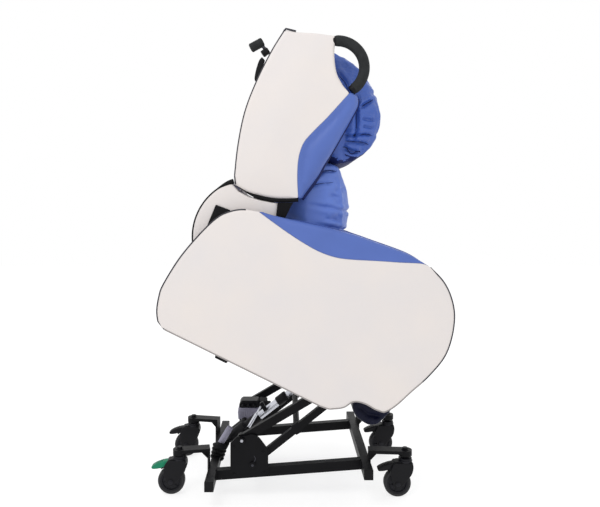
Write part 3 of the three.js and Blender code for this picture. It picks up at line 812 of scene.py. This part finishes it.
for word, s in SIDES:
    wing = board(f"wing_skin_{word}", on_back, WING, s * WING_FACE, s * WING_BACK, WHITE,
                 rim=beside(WING_SEAM, 3.0, 8.0, 4, 30), crown=5, grid=16, reach=120)
    add(wing, "back", f"wing_panel_{word}", fill=0.95)
    edge = resample([(160, 727), (124, 736)] + BACK_REAR[1:] + [(-54, 186)], 9)
    size = [3.6 if i < 6 else 2.3 for i in range(len(edge))]
    add(tube(f"wing_piping_{word}", [on_back(x, s * 302, z) for x, z in edge], size, PIPING),
        "back")
    under = resample(BACK_BOTTOM, 8)
    hem = [on_back(x, s * 296, z - 6.5 * smoothstep((i - 1) / 10))
           for i, (x, z) in enumerate(under)]
    add(tube(f"wing_hem_{word}", hem, growing(len(hem), 1.5, 5.5, 1, 12), SOFTBLACK, 12), "back",
        slot="edge_piping")
    pad = board(f"wing_pad_soft_{word}", on_back, WING_BLUE, s * WING_FACE, s * 236, BLUE,
                rim=between(WING_SEAM, WING_INSIDE, 46.0, 0.7),
                drop=beside(WING_SEAM, 2.5, 44, 3, 20), crown=2, grid=12, back_rim=6)
    add(pad, "back", f"wing_pad_{word}", fill=0.9)
    # A dark welt along the pad's front edge, thickened toward the bottom into a band of painted
    # shade between the pad and the lumbar cushion.
    front = [on_back(x - 2, s * 262, z) for x, z in resample(WING_INSIDE[:-3], 9)]
    n = len(front)
    add(tube(f"wing_pad_welt_and_shade_{word}", front, growing(n, 5.0, 5.5, n / 2, -n / 2.4), SHADE_AND_SEAM_BLUE), "back")
    add(board(f"wing_liner_{word}", on_back, WING_LINER, s * 264, s * 273, BLUE, rim=5, crown=3,
              grid=20, back_rim=1), "back")

# ---- back cushions ------------------------------------------------------------------
LUMBAR = ([(112, -56), (182, -164), (250, -118)]
          + spline([(250, -118), (316, -40), (336, 60), (338, 120), (328, 200), (318, 252)])[1:]
          + [(304, 264), (160, 292), (112, 282), (104, 100)])
HEAD = ([(318, 270)]
        + spline([(318, 270), (366, 284), (408, 300), (438, 330), (464, 384), (471, 432),
                  (464, 484), (437, 554), (397, 608), (352, 643), (309, 676)])[1:]
        + [(250, 680), (156, 640), (118, 500), (112, 312)])


def both_ends(y, *folds):
    """The same folds on either end of a back cushion."""
    return [line_at(on_back, side * y, points) for points in folds for side in (-1, 1)]


def twice(*depths):
    return [depth for depth in depths for _ in SIDES]


def across(points, front):
    """A fold that runs along one end, across the front, and along the other."""
    x, z = front
    return (line_at(on_back, -FOLD_Y, points)
            + [tuple(on_back(x, w, z)) for w in range(-195, 196, 39)]
            + line_at(on_back, FOLD_Y, points[::-1]))


def back_cushion(name, outline, material, rim, drop, edges):
    pad = board(name, on_back, outline, CUSHION_HALF, -CUSHION_HALF, material, rim=rim, drop=drop,
                back_rim=rim, grid=20, step=9)
    plump(pad, 7.0, 24, 5, edges, 30, 0.02)
    return pad


lumbar_edges = both_ends(206, [(250, -114), (316, -38), (336, 60), (338, 120), (328, 200),
                               (318, 250)])
# The lumbar cushion wears the lightened blue: painted light.
lumbar = back_cushion("lumbar_cushion_soft", LUMBAR, LIT_LUMBAR_BLUE, 30, 22, lumbar_edges)
pucker(lumbar, lumbar_edges, 1.0, 52, 41, 0.7)
LUMBAR_FOLDS = both_ends(FOLD_Y, [(216, 200), (262, 238), (322, 240)],
                         [(196, 176), (240, 190), (300, 196)], [(176, 24), (260, 4), (322, -4)])
crease(lumbar, [across([(176, 121), (249, 108), (318, 96)], (343, 92)),
                across([(216, 46), (280, 34), (322, 26)], (336, 20))] + LUMBAR_FOLDS
       + both_ends(FOLD_Y, [(262, 66), (322, 58)], [(282, 150), (330, 140)]),
       [6, 8] + twice(9, 6, 8, 4, 4), 6.0, 0.45)
ripple(lumbar, 1.5, 11, 2.0)
add(lumbar, "back", "lumbar_cushion", fill=0.8)
# Dark lines in the lumbar folds: painted shade.
seam_and_fold_shade("lumbar_folds", lumbar, LUMBAR_FOLDS, 1.6)

head_edges = both_ends(204, [(330, 276), (408, 308), (456, 384), (464, 432), (456, 484),
                             (392, 604), (309, 670)])
# The head cushion wears the darkened blue: painted shade.
head = back_cushion("head_cushion_soft", HEAD, SHADED_CRINKLED, 34, 24, head_edges)
pucker(head, head_edges, 0.8, 60, 61, 0.2)
HEAD_FOLDS = both_ends(
    FOLD_Y, [(380, 520), (381, 450), (379, 384), (368, 340)], [(384, 462), (420, 486), (452, 503)],
    [(330, 372), (372, 368), (412, 374), (446, 366)], [(336, 350), (392, 344), (432, 330)],
    [(332, 326), (366, 306), (404, 300)], [(300, 606), (338, 562), (364, 500)])
crease(head, HEAD_FOLDS, twice(12, 10, 11, 9, 10, 9), 5.5, 0.45)
crease(head, both_ends(FOLD_Y, [(392, 430), (424, 420), (456, 426)],
                       [(396, 404), (426, 396), (452, 400)], [(342, 400), (352, 440), (350, 480)])
       + [across([(446, 372), (460, 370)], (472, 372)),
          across([(430, 530), (440, 526)], (450, 524))], twice(6, 5, 6) + [5, 5], 6.0, 0.5)
ripple(head, 2.0, 13, 5.0)
# Faces that look down, low on the head cushion, get the dark blue: painted shade under the cushion.
head.data.materials.append(SHADE_AND_SEAM_BLUE)
underside = on_back(0, 0, 312).z
for poly in head.data.polygons:
    if poly.normal.z < -0.6 and poly.center.z < underside:
        poly.material_index = 1
add(head, "back", "head_cushion", fill=0.85)
# Dark lines in the head folds: painted shade, and stitching on the vertical seam.
seam_and_fold_shade("head_folds", head, HEAD_FOLDS, 2.0)

# ---- skirt and rear of the back -----------------------------------------------------
CHEEK = ([(96, 120), (79, 122), (33, 131), (-11, 144), (-44, 162)]
         + arc((0, 0), SKIRT_R - 2, 110, 195, 26) + [(-60, -52), (40, -40), (96, 0)])
GUSSET = [(-123, 114), (-74, 96), (-60, 60), (-154, 40)]
for word, s in SIDES:
    cheek = board(f"skirt_cheek_{word}", on_back, CHEEK, s * 298, s * 268, WHITE, rim=7, crown=2,
                  grid=18)
    add(cheek, "back", "lower_back_skirt", fill=0.9)
    rim_path = [on_back(x, s * 294, z) for x, z in arc((0, 0), SKIRT_R - 1, 107, 195, 40)]
    add(tube(f"skirt_rim_{word}", rim_path, growing(41, 3.0, 6.0, 9, -8), SOFTBLACK, 10), "back",
        slot="edge_piping")
    add(prism(f"skirt_gusset_{word}", on_back, GUSSET, s * 300.5, s * 304.5, SOFTBLACK), "back",
        slot="edge_piping")


def skirt_point(t, u, sunk=0.0):
    sag = 0 if sunk else 1.8 * math.cos(u * math.pi / 2) * math.sin(math.pi * t)
    a, r = math.radians(110 + 85 * t), SKIRT_R - 1 - sag - sunk
    return on_back(r * math.cos(a), 276 * u, r * math.sin(a))


REAR = resample(BACK_REAR, 12)


def rear_face(depth, half, quilted=False):
    """Points on the rear of the back, depth in from its curved outline."""
    def point(t, u):
        x, z = REAR[round(t * (len(REAR) - 1))]
        deep = depth
        if quilted:
            deep -= 9 * (1 - u * u) * math.sin(math.pi * (0.1 + 0.8 * t))
            deep += 3.5 * math.exp(-((abs(u) - 0.62) / 0.03) ** 2)
            deep += 3.5 * math.exp(-((t - 0.42) / 0.014) ** 2) * (abs(u) < 0.62)
        return on_back(x + deep, half * u, z - (4 if t == 0 else 0))
    return point


add(shell("skirt_sheet", 30, 36, skirt_point, lambda t, u: skirt_point(t, u, 10), WHITE), "back",
    "lower_back_skirt")
add(shell("back_shell_skin", len(REAR) - 1, 40, rear_face(3, 271.5, True), rear_face(19, 271.5),
          WHITE), "back", "back_shell")
add(shell("back_liner", len(REAR) - 1, 24, rear_face(21, 268), rear_face(29, 268), BLUE), "back")

# ---- flap between the seat and the lumbar cushion -----------------------------------
FLAP = resample(spline([(74, -246), (88, -216), (102, -188), (122, -154), (142, -122),
                        (158, -96)]), 4)


def flap_point(t, u, under=0.0):
    """A point on the flap."""
    k = min(round(t * (len(FLAP) - 1)), len(FLAP) - 2)
    (x0, z0), (x1, z1) = FLAP[k], FLAP[k + 1]
    x, z = (x1, z1) if t == 1 else (x0, z0)
    long = math.hypot(x1 - x0, z1 - z0)
    off = 1.4 * math.sin(8.5 * math.pi * u) * math.sin(math.pi * t) + under
    return on_back(x + (z1 - z0) / long * -off, 206 * u, z + (x1 - x0) / long * off)


flap = shell("seat_gap_flap", len(FLAP) - 1, 60, flap_point, lambda t, u: flap_point(t, u, 7),
             BLUE)
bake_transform(flap)

# ---- grab loops and push handles ----------------------------------------------------
LOOP_CENTRE, LOOP_R, LOOP_Y = (308, 601), 95, 291
HANDLE_Y = 250
CLAMP = [(11, -2), (13, 0.5), (13, 9), (11.8, 10.5), (11.8, 12.5), (13, 14), (13, 22.5), (11, 25)]
LEVER = spline([(38, 648), (27, 634), (16, 600), (11, 570), (15, 560), (25, 562), (38, 602),
                (49, 636)], 4)
for word, s in SIDES:
    path = line_at(on_back, s * LOOP_Y, arc(LOOP_CENTRE, LOOP_R, 95, -54, 56))
    size = [17.0, 18.8] + [19.4] * (len(path) - 4) + [18.8, 17.0]
    add(tube(f"grab_loop_foam_{word}", path, size, FOAM, 24), "back", f"grab_loop_{word}")
    for tag, i, step in (("top", 0, 1), ("low", -1, -1)):
        run = Vector(path[i]) - Vector(path[i + 3 * step])
        add(lathe(f"grab_collar_{tag}_{word}", [(15.5, -6), (17.5, -4), (17.5, 8), (16, 10)],
                  path[i], run, PLASTIC, 28), "back")

    y = s * HANDLE_Y
    a, b = on_back(-4, y, 679), on_back(42, y, 704)
    long = (b - a).length * 1000
    grooves = [(17 - 0.9 * (k % 2), 8 + k * (long - 18) / 10) for k in range(11)]
    grip = ([(CORE, 0), (12, 0.4), (15.5, 2.5), (17, 6)] + grooves
            + [(17, long - 7), (15.5, long - 2), (12, long)])
    add(lathe(f"push_grip_{word}", grip, a, b - a, FOAM), "back", f"push_handle_{word}")
    stem = line_at(on_back, y, [(30, 698), (40, 688), (48, 679), (57, 669)])
    add(tube(f"push_stem_{word}", stem, 6.2, DARK_ZINC, 16), "back")
    add(lathe(f"push_clamp_{word}", CLAMP, on_back(41, y, 659),
              on_back(62, y, 674) - on_back(42, y, 660), PLASTIC, 28), "back")
    add(lathe(f"push_knob_{word}", [(8.5, 0), (9.5, 1.5), (9.5, 5.5), (8, 7.5)],
              on_back(50, s * 262, 667), (0, s, 0), PLASTIC, 12), "back")
    add(board(f"release_lever_body_{word}", on_back, LEVER, y + s * 7, y - s * 7, PLASTIC, rim=4,
              back_rim=4, grid=7, step=3), f"release_{word}", f"release_lever_{word}")

# ---- castors ------------------------------------------------------------------------
CASTORS = (("rear", -392, 180, 165), ("front", 444, 200, 170))  # x, y and the arm's top
AXLE = (-30, 50)  # from the swivel axis, and above the floor
HOOD_HALF = 18.4
HOOD_SIDE = spline([(25, 127), (27, 108), (20, 84), (2, 62), (-13, 44), (-26, 33), (-40, 36),
                    (-47, 48), (-54, 70), (-57, 92), (-52, 112), (-42, 127)], 5)
GUARD = arc(AXLE, 60.5, 35, 128, 26) + arc(AXLE, 56.5, 128, 35, 26)
CROWN = [(-42, 127), (-46, 112), (-30, 111.5), (0, 106), (18, 96), (25, 108), (25, 127),
         (16, 131), (-30, 131)]
AXLE_CAP = [(9, 0), (10.5, 1.2), (10.5, 3), (6.5, 4.2), (6, 5.6)]
RUBBER = [(38.5, -14), (41, -16), (45.5, -15.5), (48.6, -13), (49.8, -9), (50, -3),
          (50, 3), (49.8, 9), (48.6, 13), (45.5, 15.5), (41, 16), (38.5, 14)]
DISC = [(6.4, -14.5), (14, -14.5), (16, -11), (31, -9.5), (33, -13), (38.7, -13.5),
        (38.7, 13.5), (33, 13), (31, 9.5), (16, 11), (14, 14.5), (6.4, 14.5)]
PEDAL = [(-34, 100), (-32, 121)] + spline([(-38, 125), (-54, 123), (-72, 118), (-90, 111),
                                           (-103, 102), (-99, 95), (-84, 95)], 4) + [
    (-66, 98), (-46, 99)]
for corner, cx, cy, top in CASTORS:
    for word, s in SIDES:
        tag = f"{corner}_{word}"

        def spot(x, y, z, cx=cx, cy=s * cy):
            return on_base(cx + x, cy + y, z)

        body, fork, wheel = f"castor_{tag}", f"castor_fork_{tag}", f"wheel_{tag}"
        hub = spot(AXLE[0], 0, AXLE[1])
        for end, w in (("in", -s), ("out", s)):
            add(board(f"castor_cheek_{end}_{tag}", spot, HOOD_SIDE, w * 24.5, w * 18.2, PLASTIC,
                      rim=3, crown=0.8, grid=9, step=4, back_rim=1.5, reach=25), body, fork)
            add(lathe(f"axle_cap_{end}_{tag}", AXLE_CAP, spot(AXLE[0], w * 24.4, AXLE[1]),
                      (0, w, 0), HUB, 6 if end == "out" else 24), body)
        add(prism(f"castor_guard_{tag}", spot, GUARD, -HOOD_HALF, HOOD_HALF, PLASTIC, 0.8), body)
        add(prism(f"castor_crown_{tag}", spot, CROWN, -HOOD_HALF, HOOD_HALF, PLASTIC, 2.0, 3), body)
        lift = top - 165
        race = [(25, 127), (26, 130), (26, 133), (23.5, 134.5), (23.5, 137.5), (24.5, 139),
                (24, 141), (CORE, 141 + lift)]
        add(lathe(f"castor_race_{tag}", race, spot(0, 0, 0), (0, 0, 1), HUB, 36), body)
        stem = [(8.4, 139), (8.4, 152 + lift), (CORE, 153.5 + lift)]
        add(lathe(f"castor_stem_{tag}", stem, spot(0, 0, 0), (0, 0, 1), DARK_ZINC, 24), body)

        add(lathe(f"tyre_{tag}", RUBBER, hub, (0, 1, 0), TYRE, 56, True), wheel,
            f"castor_wheel_{tag}")
        add(lathe(f"wheel_disc_{tag}", DISC, hub, (0, 1, 0), HUB, 56, True), wheel)
        ribs = []
        for k in range(6):
            a = math.radians(60 * k + 15)
            for w in (-1, 1):
                ends = [spot(AXLE[0] + r * math.cos(a), w * 11.2, AXLE[1] + r * math.sin(a))
                        for r in (14, 34)]
                ribs.append(tube("rib", ends, 2.4, HUB))
        add(merge(f"wheel_ribs_{tag}", ribs), wheel)

        paint = GREEN if tag == "rear_right" else PLASTIC
        add(board(f"pedal_body_{tag}", spot, PEDAL, 17, -17, paint, rim=5.0, back_rim=5.0,
                  grid=6, step=3), f"pedal_{tag}", f"brake_pedal_{tag}")
        treads = [tube("tread", [spot(-64 - 7 * k, y, 120.8 - 2.4 * k - 0.1 * k * k)
                                 for y in (-11, 11)], 1.5, paint) for k in range(4)]
        add(merge(f"pedal_treads_{tag}", treads), f"pedal_{tag}")


# ---- steel frame details ------------------------------------------------------------
def bolt_head(name, at, s, r, material):
    """A hexagonal head of radius r that faces side s."""
    return lathe(name, [(r * 0.94, 0), (r, 0.8), (r, r * 0.55), (r * 0.86, r * 0.66)], at,
                 (0, s, 0), material, 6)


def weld(start, end, r=2.6):
    """A rippled bead along a joint."""
    path = resample([tuple(start), tuple(end)], 0.0022)
    return tube("weld", path, [r * (1 + 0.16 * (i % 2)) for i in range(len(path))], STEEL)


BEAMS = {"rear": (-267, 65), "front": (294, 107)}  # x and underside
BEAM_HIGH = 35
for tag, (x, low) in BEAMS.items():
    end = [(x - 16.5, low - 0.5), (x + 16.5, low - 0.5), (x + 16.5, low + 35.5),
           (x - 16.5, low + 35.5)]
    for word, s in SIDES:
        add(prism(f"beam_cap_{tag}_{word}", on_base, end, s * 315.5, s * 320, SOFTBLACK, 1.8, 3),
            "root")
LINK_PINS = (("upper", -157, 215, 5.8, ZINC), ("lower", -118, 126, 5.0, DARK_ZINC))
PLATE_SLOT = spline([(-112, 158), (-108, 148), (-112, 136), (-120, 130)], 3)
PLATE_BOLTS = [(-186, 90), (-76, 96), (-80, 170), (-188, 190)]
for word, s in SIDES:
    for k, x, z, r, metal in LINK_PINS:
        at = on_base(x, s * 237.6, z)
        add(lathe(f"pin_washer_{k}_{word}", [(11, -0.3), (11.4, 0.4), (11, 1.3)], at, (0, s, 0),
                  STEEL, 28), "root")
        add(bolt_head(f"pin_bolt_{k}_{word}", at, s, r, metal), "root")
    slot_line = line_at(on_base, s * 231.8, PLATE_SLOT)
    add(tube(f"plate_slot_{word}", slot_line, 1.7, DARK_ZINC), "root")
    small = []
    for at in line_at(on_base, s * 231.6, PLATE_BOLTS):
        small += [bolt_head("small", at, s, 4.0, STEEL),
                  lathe("washer", [(6, -0.2), (6.2, 0.4), (6, 1.4)], at, (0, s, 0), STEEL, 24)]
    add(merge(f"plate_bolts_{word}", small), "root")

RAIL_RISE = (BEAMS["front"][1] - BEAMS["rear"][1]) / (BEAMS["front"][0] - BEAMS["rear"][0])
beads = []
for word, s in SIDES:
    for x in (-251, 278):
        z = BEAMS["rear"][1] + RAIL_RISE * (x - BEAMS["rear"][0])
        for y in (195, 225):
            beads.append(weld(on_base(x, s * y, z + 1), on_base(x, s * y, z + 34)))
        z += BEAM_HIGH
        beads.append(weld(on_base(x, s * 196, z), on_base(x, s * 224, z)))
    for (corner, *_), (x, leg_y) in zip(CASTORS, ((-284, 160), (311, 190))):
        z = BEAMS[corner][1] + BEAM_HIGH
        for y in (s * leg_y - 23, s * leg_y + 23):
            beads.append(weld(on_base(x, y, z - 30), on_base(x, y, z - 2)))
add(merge("weld_beads", beads), "root")

NUT = [(14, -0.3), (14.5, 0.6), (13.5, 1.6), (10, 1.6), (10, 7), (8.6, 8.4)]
for corner, cx, cy, top in CASTORS:
    for word, s in SIDES:
        add(lathe(f"castor_nut_{corner}_{word}", NUT, on_base(cx, s * cy, top), (0, 0, 1), PLASTIC,
                  24), "root")

# ---- lift actuator and control box --------------------------------------------------
foot, eye = on_base(-236, 0, 122), on_seat(-10, 0, 41)
run = (eye - foot).normalized()
across_run = Vector((0, 1, 0))
up_run = run.cross(across_run)
reach = (eye - foot).length * 1000


def on_motor(along, y=0.0, up=0.0):
    return foot + (run * along + across_run * y + up_run * up) / 1000


for name, profile, paint in (
        ("sleeve", [(14, 104), (19.4, 104), (20, 106), (20, 168), (19, 171), (14, 171)], PLASTIC),
        ("tube", [(12.9, 160), (15.2, 160), (15.2, 268), (12.9, 268)], SILVER),
        ("wiper", [(12.9, 262), (18, 262), (19.5, 265), (19.5, 303), (18, 308), (12.9, 308)],
         PLASTIC)):
    add(lathe(f"actuator_{name}", profile, foot, run, paint, 40, True), "lift_motor")
gearbox = [(9, 22), (11.5, 26), (22, 28), (26, 32), (27, 38), (27, 96), (25.5, 101), (21, 106),
           (19.5, 112)]
add(lathe("actuator_gearbox", gearbox, foot, run, PLASTIC, 40), "lift_motor",
    "lift_actuator_body")
motor = [(15, -4), (20, -2), (23, 2), (24, 8), (24, 24), (23.2, 25), (24, 26), (24, 78),
         (23.2, 79), (24, 80), (24, 100), (23, 106), (19, 110), (CORE, 111)]
add(lathe("actuator_motor", motor, on_motor(0, 46), run, PLASTIC, 40), "lift_motor")
add(prism("actuator_bridge", on_motor, [(40, -20), (92, -20), (92, 20), (40, 20)], 8, 42, PLASTIC,
          4, 3), "lift_motor")

spring_low, spring_high = on_motor(108, -31, -4), on_motor(214, -31, 38)
spring_run = spring_high - spring_low
spring = spring_run.length * 1000
add(lathe("assist_spring_body", [(5.5, 0), (6.5, 1.5), (6.5, spring * 0.62),
                                 (5, spring * 0.62 + 2)], spring_low, spring_run, SILVER, 28),
    "lift_motor")
add(lathe("assist_spring_rod", [(3.6, spring * 0.6), (3.6, spring)], spring_low, spring_run,
          SILVER, 20), "lift_motor")
ends = [lathe("spring_end", [(8, -9), (9, -7), (9, 7), (8, 9)], at, (0, 1, 0), PLASTIC, 24)
        for at in (spring_low, spring_high)]
ends.append(prism("spring_strut_low", on_motor, [(98, -12), (118, -12), (118, 4), (98, 4)],
                  -38, -10, PLASTIC, 2))
ends.append(prism("spring_strut_high", on_motor, [(202, 8), (216, 8), (222, 44), (208, 46)],
                  -36, -14, PLASTIC, 2))
add(merge("assist_spring_ends", ends), "lift_motor")

# A can on the actuator's near side. Its pale grey stands partly for a highlight on the dark
# actuator, a painted highlight, and it is the lightened grey, painted light.
add(lathe("motor_can", [(10, -10), (12.5, -7), (12.5, 62), (10.5, 66)], on_motor(2, -46, 24),
          on_motor(82, -46, 54) - on_motor(2, -46, 24), LIGHTENED_GREY), "lift_motor")
boot = [(CORE, -2), (16, -2)]
for k in range(4):
    boot += [(26 + k * 0.8, 3 + 15 * k), (27.5 + k * 0.8, 8 + 15 * k), (19 + k, 12 + 15 * k)]
boot += [(15, 62), (CORE, 63)]
add(lathe("motor_boot", boot, on_base(-267, -62, 80), (0.26, 0, 1), SOFTBLACK, 36), "root")
add(lathe("actuator_foot_eye", [(6.5, -12.8), (12.6, -12.8), (14, -11.5), (14, 11.5),
                                (12.6, 12.8), (6.5, 12.8)], foot, (0, 1, 0), PLASTIC, 32, True),
    "lift_motor")
add(tube("actuator_neck", [on_motor(12), on_motor(26)], 10.5, PLASTIC, 24), "lift_motor")
rod = [(12, 238), (12.4, 240), (12.4, reach - 22), (14.5, reach - 20), (14.5, reach - 15)]
add(lathe("actuator_rod", rod, foot, run, SILVER), "lift_rod", "lift_actuator_rod")
add(lathe("actuator_rod_eye", [(12.6, -9.8), (17.6, -9.8), (19, -8.4), (19, 8.4), (17.6, 9.8),
                               (12.6, 9.8)], eye, (0, 1, 0), SILVER, 36, True), "lift_rod")

CASE = [(-193, 187), (-114, 187), (-112, 200), (-112, 234), (-193, 234), (-195, 216)]
LID = [(-190, 234.5), (-104, 234.5), (-104, 252), (-112, 263), (-178, 263), (-188, 254)]
TERMINAL = [(-106, 237), (-84, 237), (-84, 229), (-60, 229), (-60, 246), (-74, 246), (-74, 260),
            (-106, 262)]
POST = [(-150, 102), (-122, 102), (-122, 187.5), (-150, 187.5)]
# The case and its fins wear the lightened grey: painted light.
add(prism("control_case", on_base, CASE, 77, 149, LIGHTENED_GREY, 3, 3), "root", "control_box")
add(prism("control_lid", on_base, LID, 80, 146, PLASTIC, 4, 3), "root")
fins = [prism("fin", on_base, [(x, 191), (x + 3.5, 191), (x + 3.5, 230), (x, 230)], 74.6, 77.4,
              LIGHTENED_GREY, 0.5) for x in range(-186, -114, 9)]
add(merge("control_fins", fins), "root")
glands = [lathe("gland", [(7.5, 0), (7.5, 5), (6, 7), (6, 10), (4.2, 12)],
                on_base(x, 76.5, 245), (0, -1, 0), PLASTIC, 20) for x in (-172, -150, -128)]
add(merge("control_glands", glands), "root")
add(prism("control_terminal", on_base, TERMINAL, 84, 140, SOFTBLACK, 2.5, 3), "root")
add(prism("control_post", on_base, POST, 98, 118, STEEL, 1.2), "root", "control_box")
add(lathe("control_bar", [(12, -194.6), (12, 194.6)], on_base(-136, 0, 92), (0, 1, 0), STEEL, 28),
    "root", "control_box")

# ---- the CAD nodes that still show --------------------------------------------------
ROUND_TUBES = ("lower_link_tube", "seat_rear_tube")
for name, node in NODES.items():
    if node.hide_render:
        continue
    if name not in ROUND_TUBES:
        bevel(node, 2.0 if "link_" in name else 1.0, 3 if "link_" in name else 2)
    sharp(node, 30)
    node.data.materials.clear()
    node.data.materials.append(BOARD if name == "seat_deck" else STEEL)

# ---- camera, floor and light --------------------------------------------------------
camera = placed("camera", bpy.data.cameras.new("camera"))
camera.location = (-0.049, -2.516, 1.058)
camera.rotation_euler = (math.radians(90), 0, 0)
camera.data.shift_x = 0.025
camera.data.shift_y = -0.0742
camera.data.sensor_width = 36
camera.data.lens = 37.6
camera.data.clip_end = 60
scene.camera = camera

GROUND = 9  # half the floor's side, in metres
floor = make("floor", [(-GROUND, -GROUND, 0), (GROUND, -GROUND, 0), (GROUND, GROUND, 0),
                       (-GROUND, GROUND, 0)], [(0, 1, 2, 3)], FLOOR)
floor.location.z = -0.0005

world = bpy.data.worlds.new("studio")
scene.world = world
world.use_nodes = True
world.node_tree.nodes["Background"].inputs["Color"].default_value = (1, 1, 1, 1)
world.node_tree.nodes["Background"].inputs["Strength"].default_value = 1.0


def softbox(name, place, size, power, target=(0, 0, 0.9)):
    lamp = bpy.data.lights.new(name, "AREA")
    lamp.shape = "RECTANGLE"
    lamp.size, lamp.size_y = size
    lamp.energy = power
    obj = placed(name, lamp)
    obj.location = place
    obj.rotation_euler = (Vector(target) - Vector(place)).to_track_quat("-Z", "Y").to_euler()


softbox("key", (-1.2, -2.2, 3.4), (1.6, 1.2), 26)
softbox("rear", (0.5, 2.8, 2.8), (2.4, 1.6), 18)
scene.view_settings.view_transform = "Standard"
